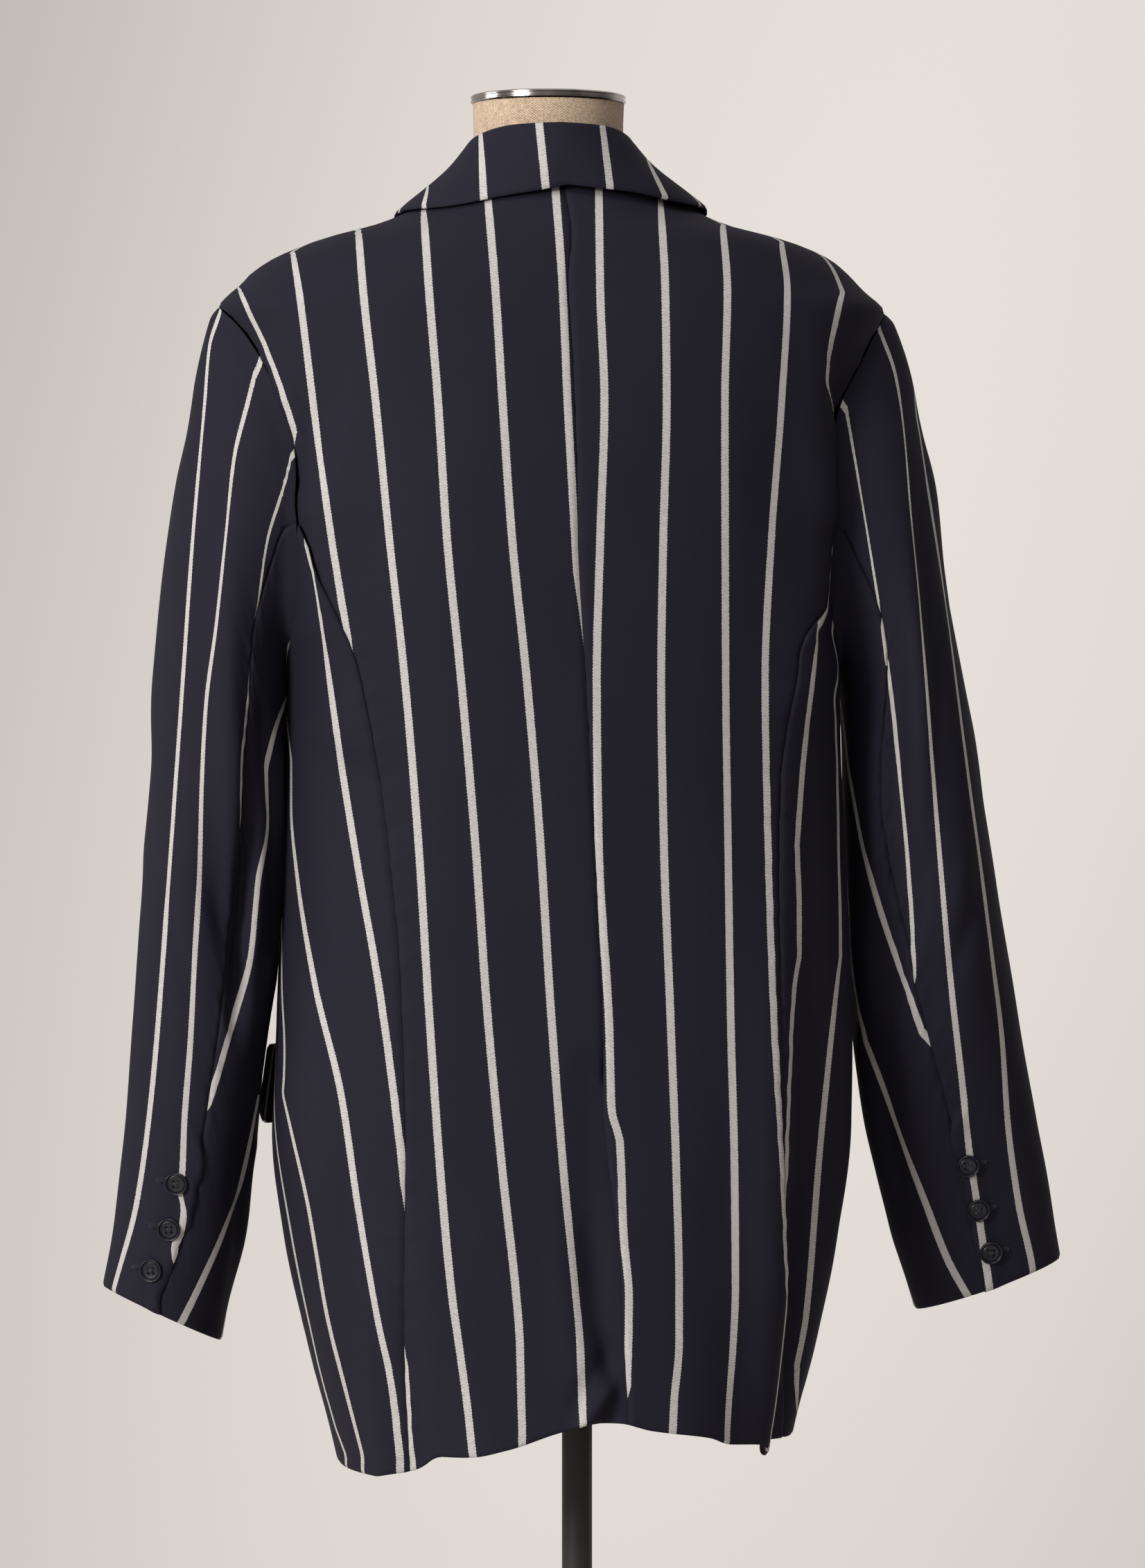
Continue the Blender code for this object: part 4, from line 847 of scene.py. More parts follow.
def hem_shift(angle, level):
    """How far a level follows the hem's rise and fall."""
    return (HEM.read("height", angle) - HEM_LEVEL) * (1 - smooth(HEM_LEVEL, 0.85, level))


HEM_SAG = 0.0050                        # how far the back hem sags beside the left side seam
HEM_SAG_ACROSS = -0.0874
HEM_SAG_WIDTH = 0.018


def body_shell(name, grid, drop, edges, guides, creases, sizes, start=0.0, way=1):
    angle, _, height = grid
    base = body_point(angle, height)
    normals = body_normal(angle, height)
    points = base - normals * drop(base, angle, height)[..., None]
    across, up = seen(points)
    low = 1 - smooth(0.620, 0.680, height)
    sag = HEM_SAG * np.exp(-(((across - HEM_SAG_ACROSS) / HEM_SAG_WIDTH) ** 2))
    points[..., 2] -= sag * low * (points[..., 1] > 0)
    if normals[len(normals) // 2, angle.shape[1] // 2] @ TOWARD_CAMERA < 0:
        across, up = -points[..., 0], points[..., 2]
    depth = crease(across, up, creases) + uneven(points, sizes)
    points = draped(points + normals * depth[..., None], 1.0)
    normals = grid_normals(points, normals)
    run = stripe_run(name, points, normals, guides, sizes.stripe_pitch, way, start)
    points = finish_edges(points, normals, edges, sizes)
    return shell(name, points, normals, run, sizes, [name])


def no_drop(points, angle, height):
    return 0 * height


def no_shift(top_angle, level):
    return 0 * level + 0 * top_angle


def neckline(angle):
    """Height of the neck seam at an angle from the centre back."""
    rise = np.sin(np.radians(np.clip(np.abs(angle), 0, 90))) ** 2
    return NECK_BACK_Z + (NECK_POINT_Z - NECK_BACK_Z) * rise


def back_shell(side, sizes):
    name = "back_left" if side > 0 else "back_right"
    top = 1.440

    def inner_edge(height):
        lap = VENT_LAP * (1 - smooth(VENT_TOP_Z - 0.03, VENT_TOP_Z, height))
        if side < 0:
            lap = VENT_EDGE.read("shift", height)
        return angle_at(SEAMS.read("centre_back", height) - lap, height)

    def outer_edge(height):
        return side * back_outer_angle(height, side)

    def drop(points, angle, height):
        """The left back slides under the right one below the top of the vent."""
        if side < 0:
            return 0 * height
        across = points[..., 0] - BODY.read("centre", height) - SEAMS.read("centre_back", height)
        near = 1 - smooth(0.006, 0.030, across)
        return OVERLAP_DROP * near * (1 - smooth(VENT_TOP_Z, VENT_TOP_Z + 0.022, height))

    def shift(top_angle, level):
        share = np.clip((level - 1.400) / (top - 1.400), 0, 1)
        return (neckline(top_angle) - top) * share**2

    grid = body_grid(inner_edge, outer_edge, shift, HEM_LEVEL, top, sizes)
    edges = {"left": "sewn" if side > 0 else "puckered", "right": "puckered", "bottom": "hem", "top": "sewn"}
    guides = {number: line for number, line in BACK_STRIPES.items() if (number < 6) == (side > 0)}
    return body_shell(name, grid, drop, edges, guides, BACK_CREASES, sizes)


def armhole_shift(top_angle, level):
    """How far the side panel's levels dip to the armhole's foot, for a column's topmost angle."""
    dip = armhole_foot(top_angle) - SEAM_TO_ARMHOLE_Z
    return dip * (np.clip((level - 0.98) / (SEAM_TO_ARMHOLE_Z - 0.98), 0, 1)) ** 2


def armhole_foot(angle):
    """Height of the armhole's lower half at an angle from the centre back."""
    turns = np.linspace(0, 360, 3601)
    places, heights = armhole_point(turns)
    lower = heights <= SEAM_TO_ARMHOLE_Z + 0.0001
    order = np.argsort(places[lower])
    return np.interp(np.abs(angle), places[lower][order], heights[lower][order])


def side_shell(side, sizes):
    name = "side_left" if side > 0 else "side_right"

    def inner_edge(level):
        return side * back_outer_angle(level, side)

    def outer_edge(level):
        return side * (SIDE_FRONT_ANGLE + 0 * level)

    grid = body_grid(inner_edge, outer_edge, armhole_shift, HEM_LEVEL, SEAM_TO_ARMHOLE_Z, sizes)
    edges = {"left": "puckered", "right": "puckered", "bottom": "hem", "top": "sewn"}
    guides = LEFT_SIDE_STRIPES if side > 0 else RIGHT_SIDE_STRIPES
    return body_shell(name, grid, no_drop, edges, guides, SIDE_CREASES, sizes)


FRONT_STRIPE_SHIFT = 0.009              # how far the fronts' stripes lie from half a pitch


def front_run(side, angle, height, points, sizes):
    """Distance across the stripes on a front: from the centre front, and so the same on its flap."""
    centre = np.abs(ring_arc(angle[:, 0], height[:, 0]))
    first = 0.5 * sizes.stripe_pitch + side * FRONT_STRIPE_SHIFT
    return side * (centre[:, None] - run_length(points, 1)) + first


def front_shell(side, sizes):
    name = "front_left" if side > 0 else "front_right"
    join = float(armhole_foot(SIDE_FRONT_ANGLE))

    def inner_edge(level):
        arm = armhole_angle(level, False)
        edge = np.where(level < join + 1e-6, SIDE_FRONT_ANGLE, arm)
        top = ARMHOLE_MIDDLE + (SHOULDER_ANGLE - ARMHOLE_MIDDLE) * smooth(TIP_Z, 1.40, level)
        return side * np.where(level >= TIP_Z, top, edge)

    def outer_edge(level):
        across = -side * FRONT_EDGE.read("past_centre", level)
        return angle_at(across, level, front=True) - (0 if side > 0 else 360)

    def drop(points, angle, height):
        """The left front slides under the right one."""
        if side < 0:
            return 0 * height
        across = points[..., 0] - BODY.read("centre", height)
        near = 1 - smooth(FRONT_LAP + 0.004, FRONT_LAP + 0.030, across)
        return OVERLAP_DROP * near * (1 - smooth(1.16, 1.22, height))

    angle, level, height = body_grid(inner_edge, outer_edge, no_shift, HEM_LEVEL, 1.4385, sizes)
    base = body_point(angle, height)
    normals = body_normal(angle, height)
    points = base - normals * drop(base, angle, height)[..., None]
    folds = crease(side * points[..., 0], points[..., 2], FRONT_CREASES)
    points = points + normals * (folds + uneven(points, sizes))[..., None]
    normals = grid_normals(points, normals)
    run = front_run(side, angle, height, points, sizes)
    edges = {"left": "puckered", "right": "hem", "bottom": "hem", "top": "sewn"}
    points = finish_edges(points, normals, edges, sizes)
    return shell(name, points, normals, run, sizes, [name])


def ring_arc(angle, height):
    """Distance along the body's ring from the centre front to an angle."""
    share = np.linspace(0, 1, 41)
    ends = np.sign(angle) * 180.0
    turns = angle[:, None] + (ends - angle)[:, None] * share[None, :]
    points = body_point(turns, np.repeat(height[:, None], len(share), 1))
    return run_length(points, 1)[:, -1]


def lapel_shell(side, sizes):
    name = "lapel_left" if side > 0 else "lapel_right"
    low = 1.103 if side > 0 else 1.052
    levels = low + (1.394 - low) * spread(1.394 - low, sizes.mesh_step)
    share = spread(0.07, sizes.mesh_step)
    edge = -FRONT_EDGE.read("past_centre", levels)
    width = LAPEL.read("width", levels)
    if side > 0:
        width = width * smooth(1.080, 1.125, levels)
    far = edge + width
    if side > 0:
        far = np.maximum(far, np.maximum(edge, 0.0015 - edge) + 0.004)
        edge = np.maximum(edge, 0.0015 - edge)
    across = edge[:, None] + (far - edge)[:, None] * share[None, :]
    slant = 0.010 * smooth(1.33, 1.364, levels) * (1 - smooth(1.364, 1.375, levels))
    height = levels[:, None] - slant[:, None] * share[None, :]
    angle = side * angle_at(across, height, front=True)
    points = body_point(angle, height)
    normals = body_normal(angle, height)
    roll = 0.0030 * (1 - smooth(0, 0.5, share))[None, :] * smooth(1.10, 1.16, levels)[:, None]
    points = points + normals * (SOLID_WALL + 2 * LIFT + roll + 0.0006)[..., None]
    normals = grid_normals(points, normals)
    run = run_length(points, 1)
    run = side * (run[:, -1:] - run) + 0.35 * sizes.stripe_pitch
    edges = {"left": "sewn", "right": "hem", "bottom": "hem", "top": "hem"}
    points = finish_edges(points, normals, edges, sizes)
    return shell(name, points, normals, run, sizes, [name])


def flap_shell(side, sizes):
    name = "flap_left" if side > 0 else "flap_right"
    share = spread(0.15, sizes.mesh_step)
    levels = spread(FLAP_HEIGHT, sizes.mesh_step)
    angle = side * (98.0 + 42.0 * share)[None, :] + 0 * levels[:, None]
    corner = 0.012 * (np.abs(2 * share - 1) ** 8)[None, :]
    height = FLAP_LOW_Z[side] + FLAP_HEIGHT * levels[:, None] + corner * (1 - levels)[:, None]
    points = body_point(angle, height)
    normals = body_normal(angle, height)
    stand = SOLID_WALL + LIFT + 0.0034 * (1 - levels)[:, None] + 0 * share[None, :]
    points = points + normals * stand[..., None]
    run = front_run(side, angle, height, points, sizes)
    points[..., 0] += side * 0.0030 * (1 - smooth(0.0, 0.3, share))[None, :]
    normals = grid_normals(points, normals)
    edges = {"left": "hem", "right": "hem", "bottom": "hem", "top": "sewn"}
    points = finish_edges(points, normals, edges, sizes)
    return shell(name, points, normals, run, sizes, [name])


def dome_height(x, y):
    """Height of the shoulders' outer face above a place beside the neck."""
    levels = np.linspace(1.300, 1.455, 156)
    centre = BODY.read("centre", levels)
    angle = np.degrees(np.arctan2(x - centre, y))
    radius = body_radius(angle, levels)
    reach = np.hypot(x - centre, y)
    return float(np.interp(0, reach - radius, levels))


def collar_section(turn, parts):
    """Outer points across the collar at an angle round the neck, from the stand to its edge."""
    side = abs(turn)
    fold_out = float(COLLAR.read("fold_out", side))
    fold_height = float(COLLAR.read("fold_height", side))
    edge_out = float(COLLAR.read("edge_out", side))
    out = np.array([sin(radians(turn)), cos(radians(turn))])
    edge = np.array(NECK_CENTRE) - (COLLAR_LEAN, 0) + out * edge_out
    edge_height = dome_height(*edge) + LIFT + 0.0010 + 0.0030 * smooth(90, 130, side)
    foot = float(COLLAR.read("foot_height", side))
    slope = unit(np.array([edge_out - fold_out, edge_height - fold_height + ROLL_RADIUS]))
    fall_normal = np.array([-slope[1], slope[0]])
    middle = np.array([fold_out - ROLL_RADIUS, fold_height - ROLL_RADIUS])
    start = middle + fall_normal * ROLL_RADIUS
    end = np.array([edge_out, edge_height]) + fall_normal * SOLID_WALL
    last_bend = np.degrees(np.arctan2(fall_normal[1], fall_normal[0]))
    shape = []
    for part in parts:
        if part < 1:
            up = foot + (middle[1] - foot) * part
            shape.append(((fold_out - 2 * ROLL_RADIUS + 0.0008 * (1 - part), up), (-1.0, 0.0)))
        elif part < 2:
            bend = radians(180 + (last_bend - 180) * (part - 1))
            direction = np.array([cos(bend), sin(bend)])
            shape.append((tuple(middle + direction * ROLL_RADIUS), tuple(direction)))
        else:
            bulge = float(COLLAR.read("bulge", side)) * sin(pi * (part - 2))
            place = start + (end - start) * (part - 2) + fall_normal * bulge
            shape.append((tuple(place), tuple(fall_normal)))
    outer = []
    normals = []
    for (distance, height), (nx, nz) in shape:
        lean = COLLAR_LEAN * np.clip((distance - fold_out) / (edge_out - fold_out), 0, 1)
        outer.append([NECK_CENTRE[0] - lean + out[0] * distance, NECK_CENTRE[1] + out[1] * distance, height])
        normals.append([out[0] * nx, out[1] * nx, nz])
    return outer, normals


def collar_shell(sizes):
    turns = np.concatenate([[-142, -141.4, -140.6], np.linspace(-139, 139, 150), [140.6, 141.4, 142]])
    fall = 2 + spread(0.05, sizes.mesh_step)
    parts = np.concatenate([np.linspace(0, 0.95, 9), np.linspace(1, 1.95, 12), fall])
    sections = [collar_section(turn, parts) for turn in turns]
    points = np.array([section[0] for section in sections]).transpose(1, 0, 2)
    normals = np.array([section[1] for section in sections]).transpose(1, 0, 2)
    normals = grid_normals(points, normals)
    across, up = seen(points)
    fall_share = np.clip(parts - 2, 0, 1)[:, None]
    depth = crease(across, up, COLLAR_CREASES) * fall_share + 0.4 * uneven(points, sizes) * fall_share
    points = points + normals * depth[..., None]
    narrow = 1 - 0.055 * smooth(1.420, 1.455, points[..., 2]) * smooth(-0.08, -0.03, points[..., 1])
    middle = np.exp(-(((across - 0.022) / 0.070) ** 2)) * (normals @ TOWARD_CAMERA > 0)
    points[..., 2] += 0.0055 * middle * smooth(0.2, 1.0, fall_share)
    points[..., 0] = NECK_CENTRE[0] - 0.004 + (points[..., 0] - NECK_CENTRE[0] + 0.004) * narrow
    run = stripe_run("collar", points, normals, COLLAR_STRIPES, sizes.stripe_pitch, -1)
    edges = {"left": "hem", "right": "hem", "bottom": "sewn", "top": "hem"}
    points = finish_edges(points, normals, edges, sizes)
    return shell("collar", points, normals, run, sizes, ["collar"])


def sleeve_point(side, turn, part):
    """The sleeve's outer face: turn in degrees from its outer side, part from armhole to cuff."""
    table = SLEEVE_LEFT if side > 0 else SLEEVE_RIGHT
    hole_angle, hole_height = armhole_point(turn)
    hole = body_point(side * hole_angle, hole_height)
    hole = hole + body_normal(side * hole_angle, hole_height) * SEAM_GAP
    cuff_height, cuff_rise = CUFFS[side]
    around = np.radians(turn)
    foot = cuff_height + cuff_rise * np.cos(around)
    height = hole_height + (foot - hole_height) * part
    across = table.read("across", height)
    deep = table.read("deep", height)
    for place, low, high, width, depth in SLEEVE_FOLDS[side]:
        apart = (turn - place + 180) % 360 - 180
        reach = smooth(low, (low + high) / 2, part) * (1 - smooth((low + high) / 2, high, part))
        change = 1 + depth / 0.05 * reach * np.exp(-((apart / width) ** 2))
        across = across * change
        deep = deep * change
    x = side * (table.read("centre", height) + across * np.cos(around))
    y = table.read("forward", height) + deep * np.sin(around)
    centre = BODY.read("centre", height)
    angle = np.degrees(np.arctan2(x - centre, y))
    distance = np.hypot(x - centre, y)
    clear = 0.0005 + 0.0012 * smooth(0, 0.10, part) + flap_room(side, angle, height)
    least = body_radius(angle, height) + clear
    softer = distance + 0.5 * ((least - distance) + np.sqrt((least - distance) ** 2 + 0.0008**2))
    distance = np.where(np.cos(around) < 0.35, softer, distance)
    ring = np.stack([centre + distance * np.sin(np.radians(angle)),
                     distance * np.cos(np.radians(angle)), height], -1)
    joined = 1 - (1 - np.clip(part / 0.12, 0, 1)) ** 2
    return hole + (ring - hole) * joined[..., None]


def flap_room(side, angle, height):
    """Room that the sleeve leaves for the pocket flap beside it."""
    low = FLAP_LOW_Z[side]
    high = low + FLAP_HEIGHT
    beside = smooth(low - 0.05, low - 0.005, height) * (1 - smooth(high + 0.005, high + 0.05, height))
    return 0.0068 * beside * smooth(84, 95, np.abs(angle))


def sleeve_normal(side, turn, part):
    round_it = sleeve_point(side, turn + 1.0, part) - sleeve_point(side, turn - 1.0, part)
    down = sleeve_point(side, turn, np.clip(part + 0.004, 0, 1))
    down = down - sleeve_point(side, turn, np.clip(part - 0.004, 0, 1))
    return unit(np.cross(down, round_it) * side)


def sleeve_seam(side, parts, which, start):
    """A seam's turn along the sleeve, from where it starts at the armhole."""
    column = "front" if which == "front" else ("left" if side > 0 else "right")
    height = 1.26 + (CUFFS[side][0] - 1.26) * parts
    turn = SLEEVE_SEAMS.read(column, height)
    return start + (turn - start) * smooth(0, 0.25, parts)


def sleeve_creases(side, turn, part):
    """Folds of a sleeve at its turns and parts, with turns taken round the sleeve."""
    depth = np.zeros(turn.shape)
    for turn0, part0, turn1, part1, width, deep in SLEEVE_CREASES[side]:
        run = np.array([turn1 - turn0, (part1 - part0) * 360])
        length = np.hypot(*run)
        apart = (turn - turn0 + 180) % 360 - 180
        along = (apart * run[0] + (part - part0) * 360 * run[1]) / length**2
        aside = (apart * run[1] - (part - part0) * 360 * run[0]) / length
        over = (along - np.clip(along, 0, 1)) * length
        taper = 0.25 + 0.75 * np.sin(pi * np.clip(along, 0, 1)) ** 0.8
        profile = np.exp(-((aside / width) ** 2)) - 0.3 * np.exp(-(((aside - 2.1 * width) / width) ** 2))
        depth += deep * profile * taper * np.exp(-((over / (1.5 * width)) ** 2))
    return depth


CUFF_VENT_TURN = {1: -9.0, -1: 6.0}     # how far each cuff's slit swings round by the hem, degrees

SEAM_SWING = {1: 4.0, -1: 7.0}          # how far each sleeve's back seam swings in above the elbow, degrees


def sleeve_ends(upper):
    """Turns where a sleeve piece starts and ends at the armhole."""
    middle = (TIP_Z + UNDERARM_Z) / 2
    reach = float(np.degrees(np.arccos((SEAM_TO_ARMHOLE_Z - middle) / (TIP_Z - middle))))
    return (-reach, reach) if upper else (reach, 360 - reach)


def sleeve_grid(side, upper, sizes):
    parts = spread(0.62, sizes.mesh_step)
    first, last = sleeve_ends(upper)
    back = sleeve_seam(side, parts, "back", last if upper else first)
    front = sleeve_seam(side, parts, "front", first + 360 if upper else last)
    slit = smooth(CUFF_VENT_PART, CUFF_VENT_PART + 0.02, parts)
    back = back + SEAM_SWING[side] * np.exp(-(((parts - 0.38) / 0.17) ** 2)) * smooth(0.0, 0.10, parts)
    back = back + CUFF_VENT_TURN[side] * smooth(0.84, 0.98, parts)
    start, end = (front - 360, back) if upper else (back, front)
    if upper:
        end = end + slit * (SLIT_OVERLAP + 0.8 * np.sin(parts * 95) + 0.5 * np.sin(parts * 171 + 1.0))
    share = spread(0.22, sizes.mesh_step)
    turn = start[:, None] + (end - start)[:, None] * share[None, :]
    return turn, np.repeat(parts[:, None], len(share), 1)


HEAD_EASE = 0.0022                      # fullness that the sleeve's head is sewn in with
CUFF_LAP = 0.0024                       # how far the top sleeve stands off at the cuff's slit
SLIT_OVERLAP = 3.5                      # how far it laps over the under sleeve there, degrees
# How far each cuff's inner side lies to the wearer's left, around which height and how far up
CUFF_PUSH = {1: (0.0040, 0.805, 0.030), -1: (0.0048, 0.735, 0.040)}


def sleeve_shell(side, upper, sizes):
    hand = "left" if side > 0 else "right"
    name = ("sleeve_top_" if upper else "sleeve_under_") + hand
    turn, part = sleeve_grid(side, upper, sizes)
    points = sleeve_point(side, turn, part)
    normals = sleeve_normal(side, turn, part)
    hole_angle, hole_height = armhole_point(turn)
    body = body_normal(side * hole_angle, hole_height)
    share_body = (0.5 + 0.5 * np.cos(np.radians(turn))) ** 0.6 * (1 - smooth(0.0, 0.05, part))
    normals = unit(normals * (1 - share_body)[..., None] + body * share_body[..., None])
    away = smooth(0.0, 0.06, part) * (1 - 0.5 * smooth(0.96, 1.0, part))
    depth = (1.3 * sleeve_creases(side, turn, part) + uneven(points, sizes)) * away
    if upper:
        head = np.cos(np.radians(turn) / 2) ** 4 * smooth(0.004, 0.03, part) * (1 - smooth(0.05, 0.14, part))
        depth = depth + HEAD_EASE * head
        lap = CUFF_LAP * smooth(CUFF_VENT_PART - 0.01, CUFF_VENT_PART + 0.01, part)
        depth = depth + lap * smooth(0.91, 0.98, (turn - turn[:, :1]) / (turn[:, -1:] - turn[:, :1]))
    room = sleeve_room(points)
    depth = np.maximum(depth, -np.clip(room, 0, 1))
    points = points + normals * depth[..., None]
    centre = points[0].mean(0)
    tuck = (1 - smooth(0.0, 0.020, part)) * smooth(40, 70, np.abs((turn + 180) % 360 - 180))
    points = points + (unit(points[0] - centre)[None] * 0.0022 - body * 0.0021) * tuck[..., None]
    inward = np.clip(-np.cos(np.radians(turn)), 0, 1)
    push, push_height, push_reach = CUFF_PUSH[side]
    points[..., 0] += push * inward * np.exp(-(((points[..., 2] - push_height) / push_reach) ** 2))
    points = draped(points, -0.4)
    normals = grid_normals(points, normals)
    guides = {
        (1, True): LEFT_TOP_SLEEVE_STRIPES, (1, False): LEFT_UNDER_SLEEVE_STRIPES,
        (-1, True): RIGHT_TOP_SLEEVE_STRIPES, (-1, False): RIGHT_UNDER_SLEEVE_STRIPES,
    }[side, upper]
    run = stripe_run(name, points, normals, guides, sizes.stripe_pitch)
    edges = {"left": "puckered", "right": "puckered", "bottom": "", "top": "hem"}
    points = finish_edges(points, normals, edges, sizes)
    return shell(name, points, normals, run, sizes, [name])


def sleeve_room(points):
    """How far a sleeve's cloth is clear of the body's outer face."""
    centre = BODY.read("centre", points[..., 2])
    angle = np.degrees(np.arctan2(points[..., 0] - centre, points[..., 1]))
    reach = np.hypot(points[..., 0] - centre, points[..., 1])
    gap = reach - body_radius(angle, points[..., 2]) - 0.0004
    return np.where(gap < 0.012, gap, 1.0)


def cuff_place(side, across, height):
    """The sleeve's point and outward direction that the camera sees at a place."""
    parts = np.linspace(0.70, 1.0, 181)
    turns = np.linspace(30, 150, 241)
    turn, part = np.meshgrid(turns, parts)
    points = sleeve_point(side, turn, part)
    right, up = seen(points)
    miss = (right - across) ** 2 + (up - height) ** 2
    best = np.unravel_index(np.argmin(miss), miss.shape)
    return points[best], sleeve_normal(side, turn[best], part[best])


def ring_faces(rings, segments):
    """Faces of a closed body of rings, with its first and last point on the axis."""
    faces = []
    last = rings * segments + 1
    for step in range(segments):
        beside = (step + 1) % segments
        faces.append((0, 1 + beside, 1 + step))
        for ring in range(rings - 1):
            start = 1 + ring * segments
            above = start + segments
            faces.append((start + step, start + beside, above + beside, above + step))
        start = 1 + (rings - 1) * segments
        faces.append((start + step, start + beside, last))
    return faces


def turned(profile, segments, centre=(0, 0)):
    """Points and faces of a solid turned about an upright line, from radius and height pairs."""
    points = [(centre[0], centre[1], profile[0][1])]
    for radius, height in profile:
        for step in range(segments):
            turn = tau * step / segments
            points.append((centre[0] + radius * cos(turn), centre[1] + radius * sin(turn), height))
    points.append((centre[0], centre[1], profile[-1][1]))
    return points, ring_faces(len(profile), segments)


def rounded(profile, steps=3):
    """Rounds the corners of a profile by cutting them again and again."""
    points = [np.array(point, float) for point in profile]
    for _ in range(steps):
        smoother = [points[0]]
        for start, end in zip(points[:-1], points[1:]):
            smoother += [start * 0.75 + end * 0.25, start * 0.25 + end * 0.75]
        points = smoother + [points[-1]]
    return [tuple(point) for point in points]


def solid(name, points, faces, material, nodes, smooth_angle=50.0):
    mesh = bpy.data.meshes.new(name)
    mesh.from_pydata([tuple(map(float, point)) for point in points], [], faces)
    work = bmesh.new()
    work.from_mesh(mesh)
    bmesh.ops.recalc_face_normals(work, faces=work.faces)
    if work.calc_volume(signed=True) < 0:
        bmesh.ops.reverse_faces(work, faces=work.faces)
    work.to_mesh(mesh)
    work.free()
    mesh.shade_smooth()
    mesh.set_sharp_from_angle(angle=radians(smooth_angle))
    mesh.materials.append(material)
    piece = bpy.data.objects.new(name, mesh)
    bpy.context.collection.objects.link(piece)
    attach(piece, "root")
    if nodes:
        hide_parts(*nodes)
    return piece


def facing_frame(place, normal):
    """A frame at a place whose Z axis points along the cloth's outward direction."""
    normal = Vector(normal).normalized()
    beside = normal.cross(Vector((0, 0, 1))).normalized()
    above = beside.cross(normal)
    frame_axes = Matrix((beside, above, normal)).transposed().to_4x4()
    frame_axes.translation = Vector(place)
    return frame_axes


def button_points(radius, segments=48):
    """Rings of a button: underside, rounded rim, a groove beside it and a shallow dished middle."""
    profile = [
        (0.60, 0.0000), (0.93, 0.0004), (0.99, 0.0010), (1.00, 0.0016), (0.97, 0.0023),
        (0.92, 0.0026), (0.87, 0.0025), (0.83, 0.0021), (0.80, 0.0016), (0.77, 0.0014),
        (0.72, 0.0016), (0.66, 0.0019), (0.58, 0.0018), (0.45, 0.0016),
    ]
    return turned([(radius * share, height) for share, height in profile], segments)


def closed_mesh(name, points, faces):
    """A closed mesh with its faces out."""
    mesh = bpy.data.meshes.new(name)
    mesh.from_pydata(points, [], faces)
    work = bmesh.new()
    work.from_mesh(mesh)
    bmesh.ops.recalc_face_normals(work, faces=work.faces)
    work.to_mesh(mesh)
    work.free()
    return mesh


def button_piece(name, place, normal, radius, node):
    """A four-hole button with its holes cut right through the dished middle."""
    points, faces = button_points(radius)
    mesh = closed_mesh(name, points, faces)
    body = bpy.data.objects.new(name, mesh)
    bpy.context.collection.objects.link(body)
    drill = bpy.data.meshes.new(name + "_drill")
    work = bmesh.new()
    for across, up in HOLE_PLACES:
        move = Matrix.Translation((across * radius, up * radius, 0.0015))
        bmesh.ops.create_cone(work, cap_ends=True, segments=16, radius1=0.12 * radius,
                              radius2=0.14 * radius, depth=0.01, matrix=move)
    work.to_mesh(drill)
    work.free()
    cutter = bpy.data.objects.new(name + "_drill", drill)
    bpy.context.collection.objects.link(cutter)
    holes = body.modifiers.new("holes", "BOOLEAN")
    holes.object = cutter
    holes.operation = "DIFFERENCE"
    holes.solver = "EXACT"
    flat = plain_mesh(body)
    bpy.data.objects.remove(cutter)
    flat.transform(facing_frame(place, normal))
    body.modifiers.clear()
    body.data = flat
    flat.shade_smooth()
    flat.set_sharp_from_angle(angle=radians(42))
    flat.materials.clear()
    flat.materials.append(button_material())
    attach(body, "root")
    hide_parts(node)
    return body


def plain_mesh(piece):
    """The mesh that a piece's modifiers make, as a mesh of its own."""
    graph = bpy.context.evaluated_depsgraph_get()
    return bpy.data.meshes.new_from_object(piece.evaluated_get(graph), depsgraph=graph)


HOLE_PLACES = [(-0.20, -0.20), (0.20, -0.20), (-0.20, 0.20), (0.20, 0.20)]


def form_shell():
    """The linen torso and neck, on finer rings than its solid."""
    segments = 120
    angles = np.arange(segments) * 360.0 / segments
    rings = []
    for height in np.concatenate([[0.775, 0.777, 0.780, 0.786, 0.795], np.linspace(0.81, 1.36, 56)]):
        rings.append(form_ring(angles, height))
    for height, spare in zip((1.375, 1.389, 1.400, 1.410, 1.420), (0.0045, 0.0020, 0, 0, 0)):
        level = np.full_like(angles, height)
        points = body_point(angles, level)
        rings.append(points - body_normal(angles, level) * (SOLID_WALL + REST_GAP + spare))
    shoulder = rings[-1]
    for height, radius, share in ((1.427, 0.0500, 0.60), (1.434, 0.0490, 0.88), (1.445, 0.0480, 1),
                                  (1.460, 0.0479, 1), (1.478, 0.0480, 1), (1.4905, NECK_RADIUS, 1)):
        turn = np.radians(angles)
        neck = np.stack([NECK_CENTRE[0] + radius * np.sin(turn),
                         NECK_CENTRE[1] + radius * np.cos(turn), np.full_like(turn, height)], -1)
        level = shoulder.copy()
        level[:, 2] = height
        rings.append(level + (neck - level) * share)
    rings = np.array(rings)
    foot = [(rings[0][:, 0].mean(), 0.0, rings[0][0, 2])]
    top = [(NECK_CENTRE[0], NECK_CENTRE[1], rings[-1][0, 2])]
    points = foot + [tuple(point) for ring in rings for point in ring] + top
    return solid("form", points, ring_faces(len(rings), segments), linen_material(), ["form_body"],
                 60)


